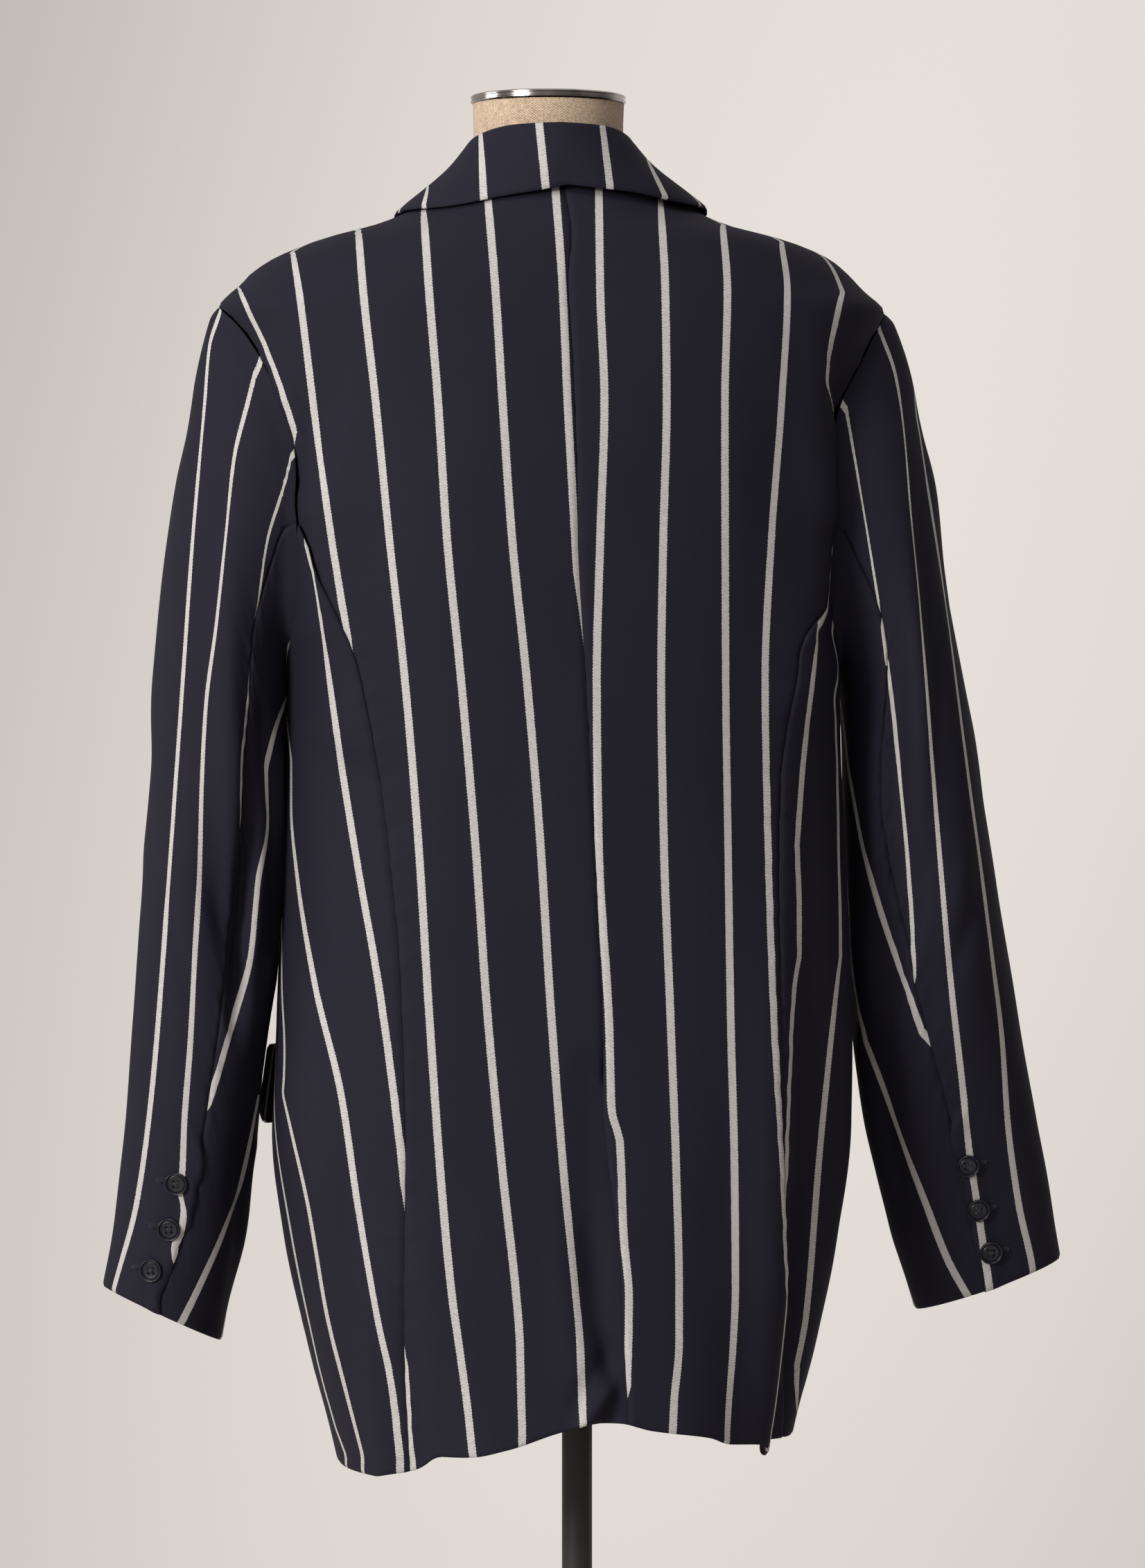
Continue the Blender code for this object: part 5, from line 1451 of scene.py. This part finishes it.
def form_ring(angles, height):
    turn = np.radians(angles)
    half = FORM.read("half", height)
    deep = np.where(np.cos(turn) > 0, FORM.read("back", height), FORM.read("front", height))
    across = (np.abs(np.sin(turn)) / half) ** FORM_SQUARE
    along = (np.abs(np.cos(turn)) / deep) ** FORM_SQUARE
    radius = (across + along) ** (-1 / FORM_SQUARE)
    centre = BODY.read("centre", height) * FORM_LEAN
    return np.stack([centre + radius * np.sin(turn), radius * np.cos(turn),
                     np.full_like(turn, height)], -1)


RING_HEIGHT = 0.0052


def cap_piece():
    """The chrome ring and its lid on the neck."""
    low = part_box("neck_cap")[0]
    high = Vector((0, 0, low.z + RING_HEIGHT))
    rim = NECK_RADIUS + 0.0012
    profile = [(0.046, low.z), (rim - 0.0008, low.z), (rim, low.z + 0.0008), (rim, low.z + 0.0014),
               (rim - 0.0004, low.z + 0.0018), (rim - 0.0004, high.z - 0.0018), (rim, high.z - 0.0014),
               (rim, high.z - 0.0008), (rim - 0.0012, high.z), (0.0462, high.z), (0.0450, high.z - 0.0012),
               (0.0440, high.z - 0.0020), (0.012, high.z - 0.0020)]
    points, faces = turned(profile, 160, NECK_CENTRE)
    return solid("neck_ring", points, faces, chrome_material(), ["neck_cap"], 35)


def pole_piece():
    low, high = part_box("pole")
    radius = high.x
    points, faces = turned([(radius, low.z), (radius, high.z)], 96)
    return solid("pole_tube", points, faces, pole_material(), ["pole"], 40)


def base_piece():
    low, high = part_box("base")
    radius = high.x
    profile = rounded([(radius - 0.004, low.z), (radius, 0.002), (radius, 0.008), (radius - 0.005, 0.0098),
                       (0.060, 0.0120), (0.024, 0.0126), (0.0185, high.z)], 2)
    profile[0] = (radius - 0.004, low.z)
    profile[-1] = (0.0185, high.z)
    points, faces = turned(profile, 160)
    return solid("base_plate", points, faces, pole_material(), ["base"], 40)


class Wire:
    """One output in a node tree, on which Python arithmetic adds Math nodes."""

    def __init__(self, nodes, socket):
        self.nodes = nodes
        self.socket = socket

    def math(self, operation, *values):
        node = self.nodes.add("ShaderNodeMath", {"operation": operation}, *values)
        return Wire(self.nodes, node.outputs[0])

    def __add__(self, other):
        return self.math("ADD", self, other)

    __radd__ = __add__

    def __sub__(self, other):
        return self.math("SUBTRACT", self, other)

    def __rsub__(self, other):
        return self.math("SUBTRACT", other, self)

    def __mul__(self, other):
        return self.math("MULTIPLY", self, other)

    __rmul__ = __mul__

    def __truediv__(self, other):
        return self.math("DIVIDE", self, other)

    def sine(self):
        return self.math("SINE", self)

    def wrap(self):
        return self.math("FRACT", self)

    def size(self):
        return self.math("ABSOLUTE", self)

    def limit(self, low, high):
        return self.math("MINIMUM", self.math("MAXIMUM", self, low), high)

    def ramp(self, start, end):
        """Runs smoothly from 0 at start to 1 at end."""
        settings = {"interpolation_type": "SMOOTHSTEP", "clamp": True}
        node = self.nodes.add("ShaderNodeMapRange", settings, self, start, end, 0.0, 1.0)
        return Wire(self.nodes, node.outputs[0])


class Nodes:
    """Writes a node tree as expressions."""

    def __init__(self, tree):
        self.tree = tree
        self.tree.nodes.clear()

    def add(self, kind, settings, *values):
        """A node with its settings, and the values or links of its first enabled sockets."""
        node = self.tree.nodes.new(kind)
        for name, value in settings.items():
            setattr(node, name, value)
        sockets = [socket for socket in node.inputs if socket.enabled]
        for socket, value in zip(sockets, values):
            self.feed(socket, value)
        return node

    def feed(self, socket, value):
        if isinstance(value, Wire):
            self.tree.links.new(value.socket, socket)
        elif value is not None:
            socket.default_value = value

    def wire(self, kind, settings, *values, output=0):
        return Wire(self, self.add(kind, settings, *values).outputs[output])

    def split(self, vector):
        node = self.add("ShaderNodeSeparateXYZ", {}, vector)
        return [Wire(self, output) for output in node.outputs]

    def join(self, x, y, z):
        return self.wire("ShaderNodeCombineXYZ", {}, x, y, z)

    def blend(self, share, first, second):
        """Mixes two colours."""
        node = self.add("ShaderNodeMix", {"data_type": "RGBA"}, share, first, second)
        return Wire(self, node.outputs[2])

    def noise(self, vector, scale, detail=2.0, rough=0.5):
        return self.wire("ShaderNodeTexNoise", {}, vector, scale, detail, rough)

    def bump(self, height, distance, strength=1.0):
        node = self.tree.nodes.new("ShaderNodeBump")
        node.inputs["Strength"].default_value = strength
        node.inputs["Distance"].default_value = distance
        self.feed(node.inputs["Height"], height)
        return Wire(self, node.outputs[0])


def finish(name, build):
    """A material by name, made once: build gets its nodes and returns the shader's values."""
    made = bpy.data.materials.get(name)
    if made:
        return made
    made = bpy.data.materials.new(name)
    made.use_nodes = True
    nodes = Nodes(made.node_tree)
    shader = made.node_tree.nodes.new("ShaderNodeBsdfPrincipled")
    output = made.node_tree.nodes.new("ShaderNodeOutputMaterial")
    made.node_tree.links.new(shader.outputs[0], output.inputs[0])
    for socket, value in build(nodes).items():
        nodes.feed(shader.inputs[socket], value)
    return made


def colour(value):
    return (*value[:3], 1.0)


def cloth_material():
    look = bpy.context.scene.blazer_finishes
    sizes = bpy.context.scene.blazer_sizes

    def build(nodes):
        grain = nodes.wire("ShaderNodeUVMap", {"uv_map": "grain"})
        across, along, _ = nodes.split(grain)
        tooth = ((along / sizes.tooth_pitch).wrap() - 0.5).size() * 2.0
        wander = nodes.noise(nodes.join(across * 0.4, along, 0.0), 260.0, 2.0)
        edge = sizes.stripe_width / 2 + (tooth - 0.5) * 0.00040 + (wander - 0.5) * 0.0005
        aside = ((across / sizes.stripe_pitch + 0.5).wrap() - 0.5).size() * sizes.stripe_pitch
        stripe = (edge - aside).ramp(-0.00018, 0.00018)
        twill = ((across + along) * (tau / sizes.twill_pitch)).sine() * 0.5 + 0.5
        ribs = (along * (tau / 0.00105) + (across * (tau / 0.0042)).sine() * 0.8).sine() * 0.5 + 0.5
        speckle = nodes.noise(grain, 1500.0, 3.0, 0.65)
        shade = nodes.noise(nodes.join(across, along, 0.0), 9.0, 3.0)
        mottle = twill * 0.30 + speckle * 0.35 + shade * 0.2
        navy = nodes.blend(mottle, colour(look.navy_shade), colour(look.navy))
        dash = nodes.noise(nodes.join(across * 0.35, along, 0.0), 900.0, 2.0, 0.6)
        pale_share = (ribs * 0.30 + dash * 0.70).ramp(0.20, 0.62)
        ivory = nodes.blend(pale_share, colour(look.ivory_shade), colour(look.ivory))
        rim = (aside - sizes.stripe_width / 2).size().ramp(0.0010, 0.0) * 0.35
        dark = nodes.blend(rim, navy, colour(look.navy_shade))
        relief = twill * 0.5 + speckle * 0.3 + stripe * (0.5 + ribs * 0.5)
        return {
            "Base Color": nodes.blend(stripe, dark, ivory),
            "Roughness": 0.78 - stripe * 0.20,
            "Specular IOR Level": 0.10,
            "Normal": nodes.bump(relief, 0.00014, 0.55),
        }

    return finish("striped_cloth", build)


def button_material():
    look = bpy.context.scene.blazer_finishes

    def build(nodes):
        place = nodes.wire("ShaderNodeTexCoord", {}, output=3)
        marble = nodes.noise(place, 340.0, 3.0)
        return {
            "Base Color": nodes.blend(marble, colour(look.button), colour(look.button_pale)),
            "Roughness": 0.30 + nodes.noise(place, 900.0, 2.0) * 0.12,
            "Specular IOR Level": 0.32,
            "Normal": nodes.bump(nodes.noise(place, 1300.0, 2.0), 0.00004, 0.3),
        }

    return finish("dark_button", build)


def thread_material():
    look = bpy.context.scene.blazer_finishes

    def build(nodes):
        place = nodes.wire("ShaderNodeTexCoord", {}, output=3)
        twist = nodes.noise(place, 2600.0, 2.0)
        return {
            "Base Color": nodes.blend(twist, colour(look.navy_shade), colour(look.thread)),
            "Roughness": 0.62,
            "Normal": nodes.bump(twist, 0.00005, 0.5),
        }

    return finish("dark_thread", build)


def linen_material():
    look = bpy.context.scene.blazer_finishes

    def build(nodes):
        place = nodes.wire("ShaderNodeTexCoord", {}, output=3)
        x, y, z = nodes.split(place)
        round_it = y.math("ARCTAN2", y, x) * 0.048
        warp = nodes.noise(nodes.join(round_it * 4.0, 0.0, z), 300.0, 2.0, 0.6)
        weft = nodes.noise(nodes.join(round_it, 0.0, z * 4.0), 300.0, 2.0, 0.6)
        cells = ((round_it * (tau / 0.0016)).sine() * (z * (tau / 0.0016)).sine()) * 0.5 + 0.5
        slub = nodes.noise(place, 40.0, 3.0)
        share = (warp * 0.34 + weft * 0.34 + cells * 0.20 + slub * 0.12).ramp(0.36, 0.62)
        return {
            "Base Color": nodes.blend(share, colour(look.linen_shade), colour(look.linen)),
            "Roughness": 0.86,
            "Specular IOR Level": 0.25,
            "Sheen Weight": 0.10,
            "Normal": nodes.bump(warp * 0.5 + weft * 0.5 + cells * 0.4, 0.00025, 0.6),
        }

    return finish("linen_weave", build)


def chrome_material():
    look = bpy.context.scene.blazer_finishes

    def build(nodes):
        place = nodes.wire("ShaderNodeTexCoord", {}, output=3)
        smear = nodes.noise(place, 60.0, 4.0)
        return {
            "Base Color": nodes.blend(smear.ramp(0.35, 0.75), colour(look.chrome), colour(look.chrome_worn)),
            "Metallic": 1.0,
            "Roughness": 0.10 + smear * 0.14,
        }

    return finish("worn_chrome", build)


def pole_material():
    look = bpy.context.scene.blazer_finishes

    def build(nodes):
        place = nodes.wire("ShaderNodeTexCoord", {}, output=3)
        fine = nodes.noise(place, 700.0, 3.0)
        cloud = nodes.noise(place, 14.0, 3.0)
        return {
            # the paler cloud patches mixed into the paint's colour are painted sheen
            "Base Color": nodes.blend(cloud, colour(look.pole), colour(look.pole_painted_sheen)),
            "Roughness": 0.42 + fine * 0.12,
            "Specular IOR Level": 0.25,
            "Normal": nodes.bump(fine, 0.00006, 0.35),
        }

    return finish("painted_metal", build)


def floor_material():
    look = bpy.context.scene.blazer_finishes

    def build(nodes):
        place = nodes.wire("ShaderNodeTexCoord", {}, output=3)
        tone = nodes.noise(place, 3.0, 2.0)
        first = colour(look.backdrop)
        second = tuple(value * 0.97 for value in look.backdrop[:3]) + (1.0,)
        return {"Base Color": nodes.blend(tone, first, second), "Roughness": 0.9}

    return finish("pale_floor", build)


def stitch_tree():
    """Geometry Nodes that lay thread stitches across a path: a buttonhole's or a tack's bars."""
    found = bpy.data.node_groups.get("bar_stitches")
    if found:
        return found
    tree = bpy.data.node_groups.new("bar_stitches", "GeometryNodeTree")
    face = tree.interface
    face.new_socket("Path", in_out="INPUT", socket_type="NodeSocketGeometry")
    for name, default in (("Spacing", 0.0006), ("Length", 0.0022), ("Thickness", 0.00032)):
        socket = face.new_socket(name, in_out="INPUT", socket_type="NodeSocketFloat")
        socket.subtype = "DISTANCE"
        socket.default_value = default
    face.new_socket("Seed", in_out="INPUT", socket_type="NodeSocketInt")
    face.new_socket("Thread", in_out="INPUT", socket_type="NodeSocketMaterial")
    face.new_socket("Stitches", in_out="OUTPUT", socket_type="NodeSocketGeometry")
    nodes = tree.nodes
    start = nodes.new("NodeGroupInput")
    end = nodes.new("NodeGroupOutput")

    def link(first, output, second, socket):
        tree.links.new(first.outputs[output], second.inputs[socket])

    path = nodes.new("GeometryNodeMeshToCurve")
    link(start, "Path", path, "Mesh")
    spots = nodes.new("GeometryNodeCurveToPoints")
    spots.mode = "LENGTH"
    link(path, 0, spots, "Curve")
    link(start, "Spacing", spots, "Length")
    bar = nodes.new("GeometryNodeMeshUVSphere")
    bar.inputs["Segments"].default_value = 10
    bar.inputs["Rings"].default_value = 8
    link(start, "Thickness", bar, "Radius")
    ratio = nodes.new("ShaderNodeMath")
    ratio.operation = "DIVIDE"
    link(start, "Length", ratio, 0)
    link(start, "Thickness", ratio, 1)
    stretch = nodes.new("ShaderNodeCombineXYZ")
    stretch.inputs[0].default_value = 1.0
    stretch.inputs[1].default_value = 1.0
    link(ratio, 0, stretch, 2)
    across = nodes.new("ShaderNodeVectorMath")
    across.operation = "CROSS_PRODUCT"
    out = nodes.new("FunctionNodeInputVector")
    out.vector = (0.0, 0.0, 1.0)
    link(spots, "Tangent", across, 0)
    link(out, 0, across, 1)
    aim = nodes.new("FunctionNodeAlignRotationToVector")
    aim.axis = "Z"
    link(across, 0, aim, "Vector")
    jitter = nodes.new("FunctionNodeRandomValue")
    jitter.data_type = "FLOAT"
    jitter.inputs[2].default_value = 0.42
    jitter.inputs[3].default_value = 0.56
    link(start, "Seed", jitter, "Seed")
    size = nodes.new("ShaderNodeVectorMath")
    size.operation = "MULTIPLY"
    vary = nodes.new("ShaderNodeCombineXYZ")
    vary.inputs[0].default_value = 0.55
    vary.inputs[1].default_value = 0.55
    tree.links.new(jitter.outputs[1], vary.inputs[2])
    link(stretch, 0, size, 0)
    link(vary, 0, size, 1)
    lay = nodes.new("GeometryNodeInstanceOnPoints")
    link(spots, "Points", lay, "Points")
    link(bar, "Mesh", lay, "Instance")
    link(aim, 0, lay, "Rotation")
    link(size, 0, lay, "Scale")
    real = nodes.new("GeometryNodeRealizeInstances")
    link(lay, 0, real, 0)
    paint = nodes.new("GeometryNodeSetMaterial")
    link(real, 0, paint, "Geometry")
    link(start, "Thread", paint, "Material")
    link(paint, 0, end, 0)
    return tree


def stitched(name, path, place, normal, spacing, length, thickness, seed):
    """Stitches along a flat path, in a button's plane, laid on the cloth at a place."""
    mesh = bpy.data.meshes.new(name)
    mesh.from_pydata(path, [(index, index + 1) for index in range(len(path) - 1)], [])
    piece = bpy.data.objects.new(name, mesh)
    bpy.context.collection.objects.link(piece)
    modifier = piece.modifiers.new("stitches", "NODES")
    tree = stitch_tree()
    modifier.node_group = tree
    values = {"Spacing": spacing, "Length": length, "Thickness": thickness, "Seed": seed,
              "Thread": thread_material()}
    for item in tree.interface.items_tree:
        if item.item_type == "SOCKET" and item.in_out == "INPUT" and item.name in values:
            modifier[item.identifier] = values[item.name]
    flat = plain_mesh(piece)
    piece.modifiers.clear()
    flat.transform(facing_frame(place, normal))
    flat.shade_smooth()
    piece.data = flat
    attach(piece, "root")
    return piece


def keyhole_path(length, width):
    """A closed-up buttonhole: down one side, round the eye and back along the other."""
    points = []
    for step in range(13):
        points.append((-length / 2 + length * step / 12, -width / 2, 0.0))
    for step in range(1, 12):
        turn = -pi / 2 + pi * step / 12
        points.append((length / 2 + 0.0011 * cos(turn), 0.0011 * sin(turn), 0.0))
    for step in range(13):
        points.append((length / 2 - length * step / 12, width / 2, 0.0))
    return points


def cross_thread(name, place, normal, radius):
    """The two thread bars that hold a four-hole button, as thick rounded strands."""
    reach = 0.20 * radius
    points = []
    faces = []
    for way in (-1, 1):
        for strand in (-1, 0, 1):
            offset = strand * 0.00020
            start = len(points)
            for step in range(13):
                share = step / 12
                along = -reach + 2 * reach * share
                up = 0.0014 + 0.00085 * sin(pi * share) ** 0.6 + (0.00012 if way > 0 else 0)
                for turn in range(8):
                    a = tau * turn / 8
                    x = along - way * (offset + 0.00013 * cos(a))
                    y = way * along + (offset + 0.00013 * cos(a))
                    points.append((x, y, up + 0.00013 * sin(a)))
            for step in range(12):
                for turn in range(8):
                    a = start + step * 8 + turn
                    b = start + step * 8 + (turn + 1) % 8
                    faces.append((a, b, b + 8, a + 8))
            faces.append(tuple(start + turn for turn in range(7, -1, -1)))
            faces.append(tuple(start + 96 + turn for turn in range(8)))
    mesh = closed_mesh(name, points, faces)
    mesh.transform(facing_frame(place, normal))
    mesh.shade_smooth()
    mesh.materials.append(thread_material())
    piece = bpy.data.objects.new(name, mesh)
    bpy.context.collection.objects.link(piece)
    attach(piece, "root")
    return piece


def measure(name, description, value, least):
    return bpy.props.FloatProperty(name=name, description=description, default=value, min=least,
                                   unit="LENGTH")


class BlazerSizes(bpy.types.PropertyGroup):
    """Sizes of the cloth, its stripes and its small parts."""

    stripe_pitch: measure("Stripe pitch", "Distance between two stripes", 0.0415, 0.01)
    stripe_width: measure("Stripe width", "Width of a stripe", 0.0050, 0.001)
    tooth_pitch: measure(
        "Tooth pitch", "Distance between the small teeth of a stripe's edge", 0.0020, 0.0005)
    twill_pitch: measure("Twill pitch", "Distance between the twill's ridges", 0.0008, 0.0003)
    thickness: measure("Cloth thickness", "Thickness of the cloth with its lining", 0.0016, 0.0008)
    mesh_step: measure("Mesh step", "Size of the grid that the cloth is cut on", 0.0036, 0.002)
    seam_depth: measure("Seam depth", "How far a sewn edge rolls in", 0.0012, 0)
    unevenness: measure("Unevenness", "Height of the cloth's slow waves", 0.00055, 0)
    cuff_button: measure("Cuff button radius", "Radius of a button at the cuff", 0.0075, 0.004)
    front_button: measure(
        "Front button radius", "Radius of the button at the front", 0.0100, 0.004)


def tint(name, description, value):
    return bpy.props.FloatVectorProperty(name=name, description=description, default=value, size=3,
                                         min=0, max=1, subtype="COLOR")


class BlazerFinishes(bpy.types.PropertyGroup):
    """Colours of the cloth, thread, buttons, form and stand."""

    navy: tint("Navy", "Ground of the cloth", (0.0168, 0.0160, 0.0270))
    navy_shade: tint("Navy shade", "Ground between the twill's ridges", (0.0086, 0.0082, 0.0145))
    ivory: tint("Ivory", "Stripe", (0.47, 0.46, 0.45))
    ivory_shade: tint("Ivory shade", "Stripe between its ribs", (0.27, 0.262, 0.25))
    thread: tint("Thread", "Buttonhole and button thread", (0.020, 0.019, 0.030))
    button: tint("Button", "Button", (0.0052, 0.0055, 0.0100))
    button_pale: tint("Button streak", "Paler streaks in a button", (0.0098, 0.0102, 0.0180))
    linen: tint("Linen", "Cover of the form", (0.58, 0.45, 0.33))
    linen_shade: tint("Linen shade", "Cover of the form between its threads", (0.27, 0.185, 0.125))
    chrome: tint("Chrome", "Ring on the neck", (0.42, 0.40, 0.38))
    chrome_worn: tint("Worn chrome", "Duller parts of the ring", (0.20, 0.19, 0.18))
    pole: tint("Pole", "Paint of the pole and the base", (0.020, 0.019, 0.018))
    # paler colour of the paint's patches of painted sheen
    pole_painted_sheen: tint("Pole sheen", "Paler parts of the paint", (0.030, 0.028, 0.027))
    backdrop: tint("Backdrop", "Floor and background", (0.70, 0.655, 0.62))


class BLAZER_OT_backs(bpy.types.Operator):
    """Sew the back panels, with the vent between them, and the side panels"""

    bl_idname = "blazer.backs"
    bl_label = "Backs and sides"

    def execute(self, context):
        for side in (1, -1):
            back_shell(side, context.scene.blazer_sizes)
            side_shell(side, context.scene.blazer_sizes)
        return {"FINISHED"}


class BLAZER_OT_fronts(bpy.types.Operator):
    """Sew the fronts with their lapels and pocket flaps"""

    bl_idname = "blazer.fronts"
    bl_label = "Fronts, lapels and flaps"

    def execute(self, context):
        for side in (1, -1):
            front_shell(side, context.scene.blazer_sizes)
            lapel_shell(side, context.scene.blazer_sizes)
            flap_shell(side, context.scene.blazer_sizes)
        return {"FINISHED"}


class BLAZER_OT_collar(bpy.types.Operator):
    """Sew the collar that rolls over and falls on the shoulders"""

    bl_idname = "blazer.collar"
    bl_label = "Collar"

    def execute(self, context):
        collar_shell(context.scene.blazer_sizes)
        return {"FINISHED"}


class BLAZER_OT_sleeves(bpy.types.Operator):
    """Sew both sleeves from their top and under pieces"""

    bl_idname = "blazer.sleeves"
    bl_label = "Sleeves"

    def execute(self, context):
        for side in (1, -1):
            for upper in (True, False):
                sleeve_shell(side, upper, context.scene.blazer_sizes)
        return {"FINISHED"}


class BLAZER_OT_buttons(bpy.types.Operator):
    """Make the buttons with their holes, threads and buttonholes"""

    bl_idname = "blazer.buttons"
    bl_label = "Buttons and buttonholes"

    def execute(self, context):
        sizes = context.scene.blazer_sizes
        for side in (1, -1):
            hand = "left" if side > 0 else "right"
            for number, (across, height) in enumerate(CUFF_BUTTONS[side], 1):
                self.cuff(side, hand, number, across, height, sizes.cuff_button)
        height = np.array([BUTTON_Z])
        angle = angle_at(np.array([0.0]), height, front=True)
        place = body_point(angle, height)[0]
        normal = body_normal(angle, height)[0]
        seat = place + normal * 0.0012
        button_piece("button_front_piece", seat, normal, sizes.front_button, "button_front")
        cross_thread("thread_front", seat, normal, sizes.front_button)
        stitched("buttonhole_front", keyhole_path(0.021, 0.0014), place + normal * 0.0009, normal,
                 0.00055, 0.0021, 0.00034, 11)
        return {"FINISHED"}

    def cuff(self, side, hand, number, across, height, radius):
        place, normal = cuff_place(side, across, height)
        seat = place + normal * 0.0014
        name = f"{hand}_{number}"
        button_piece(f"button_{name}", seat, normal, radius, f"button_cuff_{name}")
        cross_thread(f"thread_{name}", seat, normal, radius)
        stitched(f"buttonhole_{name}", keyhole_path(0.0150, 0.0011),
                 place + normal * 0.0008 + BUTTONHOLE_SHIFT[side], normal, 0.00055, 0.0019, 0.00030, number)


BUTTONHOLE_SHIFT = {1: np.array([0.0045, 0.0, 0.0022]), -1: np.array([-0.0045, 0.0, 0.0022])}


class BLAZER_OT_form(bpy.types.Operator):
    """Make the linen form, its chrome ring, the pole and the base"""

    bl_idname = "blazer.form"
    bl_label = "Form and stand"

    def execute(self, context):
        form_shell()
        cap_piece()
        pole_piece()
        base_piece()
        return {"FINISHED"}


class BLAZER_OT_stage(bpy.types.Operator):
    """Set up the pale floor, the studio light and the camera"""

    bl_idname = "blazer.stage"
    bl_label = "Stage"

    def execute(self, context):
        floor(context)
        backdrop(context)
        light("key", (3.3, 3.0, 2.3), 1.5, 190.0, (1.0, 0.985, 0.96))
        light("edge", (3.2, -0.6, 1.9), 1.4, 20.0, (1.0, 0.99, 0.98))
        light("top", (0.6, 1.4, 3.8), 1.8, 40.0, (1.0, 0.99, 0.97))
        camera(context)
        context.scene.view_settings.view_transform = "Standard"
        return {"FINISHED"}


def floor(context):
    mesh = bpy.data.meshes.new("floor")
    work = bmesh.new()
    bmesh.ops.create_circle(work, cap_ends=True, segments=96, radius=2.6,
                            matrix=Matrix.Translation((0, 0, -0.0002)))
    work.to_mesh(mesh)
    work.free()
    mesh.materials.append(floor_material())
    disc = bpy.data.objects.new("floor", mesh)
    context.collection.objects.link(disc)


def backdrop(context):
    """Soft paper backdrop as the world's light: paler in the middle and to the upper right."""
    world = bpy.data.worlds.new("backdrop")
    world.use_nodes = True
    nodes = Nodes(world.node_tree)
    place = nodes.wire("ShaderNodeTexCoord", {}, output=0)
    x, y, z = nodes.split(place)
    half_wide = FRAME_TALL / 2 * PHOTO_WIDTH / PHOTO_HEIGHT / CAMERA_DISTANCE
    half_tall = FRAME_TALL / 2 / CAMERA_DISTANCE
    right = ((x * -cos(CAMERA_TURN) + y * sin(CAMERA_TURN)) / half_wide).limit(-1.2, 1.2)
    up = (z / half_tall).limit(-1.2, 1.2)
    tone = right * 0.045 - right * right * 0.072 - up * up * 0.024 + right * up * 0.042 + 0.769
    behind = (x * -TOWARD_CAMERA[0] + y * -TOWARD_CAMERA[1]).ramp(-0.1, 0.9)
    aside = (x * cos(CAMERA_TURN) - y * sin(CAMERA_TURN)).ramp(-0.7, 0.9)
    room = behind + (1.0 - behind) * (aside * 0.42 + 0.30)
    paper = nodes.blend(tone.ramp(0.50, 1.0), colour((0.510, 0.468, 0.432)), colour((1.0, 0.945, 0.905)))
    shine = nodes.add("ShaderNodeBackground", {}, paper, room)
    output = world.node_tree.nodes.new("ShaderNodeOutputWorld")
    world.node_tree.links.new(shine.outputs[0], output.inputs[0])
    context.scene.world = world


def light(name, place, size, power, tone):
    lamp = bpy.data.lights.new(name, "AREA")
    lamp.shape = "DISK"
    lamp.size = size
    lamp.energy = power
    lamp.color = tone
    holder = bpy.data.objects.new(name, lamp)
    bpy.context.collection.objects.link(holder)
    holder.location = place
    aim = Vector((0, 0, 1.05)) - Vector(place)
    holder.rotation_euler = aim.to_track_quat("-Z", "Y").to_euler()


def camera(context):
    lens = bpy.data.cameras.new("camera")
    lens.sensor_fit = "VERTICAL"
    lens.sensor_height = 36
    lens.lens = 36 * CAMERA_DISTANCE / FRAME_TALL
    lens.shift_x = -(POLE_COLUMN - PHOTO_WIDTH / 2) / PHOTO_HEIGHT
    lens.clip_end = 60
    holder = bpy.data.objects.new("camera", lens)
    context.collection.objects.link(holder)
    toward = Vector(TOWARD_CAMERA)
    holder.location = toward * CAMERA_DISTANCE + Vector((0, 0, CAMERA_HEIGHT))
    holder.rotation_euler = toward.to_track_quat("Z", "Y").to_euler()
    context.scene.camera = holder


class BLAZER_PT_panel(bpy.types.Panel):
    """Lists the sizes, the colours and the steps of the blazer"""

    bl_idname = "BLAZER_PT_panel"
    bl_label = "Striped blazer"
    bl_space_type = "VIEW_3D"
    bl_region_type = "UI"
    bl_category = "Blazer"

    def draw(self, context):
        for group in (context.scene.blazer_sizes, context.scene.blazer_finishes):
            box = self.layout.box()
            for name in group.bl_rna.properties.keys():
                if name not in ("rna_type", "name"):
                    box.prop(group, name)
        for step in STEPS:
            self.layout.operator(step.bl_idname)


STEPS = (BLAZER_OT_backs, BLAZER_OT_fronts, BLAZER_OT_collar, BLAZER_OT_sleeves,
         BLAZER_OT_buttons, BLAZER_OT_form, BLAZER_OT_stage)
CLASSES = (BlazerSizes, BlazerFinishes, *STEPS, BLAZER_PT_panel)


def register():
    for made in CLASSES:
        bpy.utils.register_class(made)
    bpy.types.Scene.blazer_sizes = bpy.props.PointerProperty(type=BlazerSizes)
    bpy.types.Scene.blazer_finishes = bpy.props.PointerProperty(type=BlazerFinishes)


def unregister():
    del bpy.types.Scene.blazer_sizes
    del bpy.types.Scene.blazer_finishes
    for made in reversed(CLASSES):
        bpy.utils.unregister_class(made)


def main():
    register()
    bpy.ops.blazer.backs()
    bpy.ops.blazer.fronts()
    bpy.ops.blazer.collar()
    bpy.ops.blazer.sleeves()
    bpy.ops.blazer.buttons()
    bpy.ops.blazer.form()
    bpy.ops.blazer.stage()


if __name__ == "__main__":
    main()
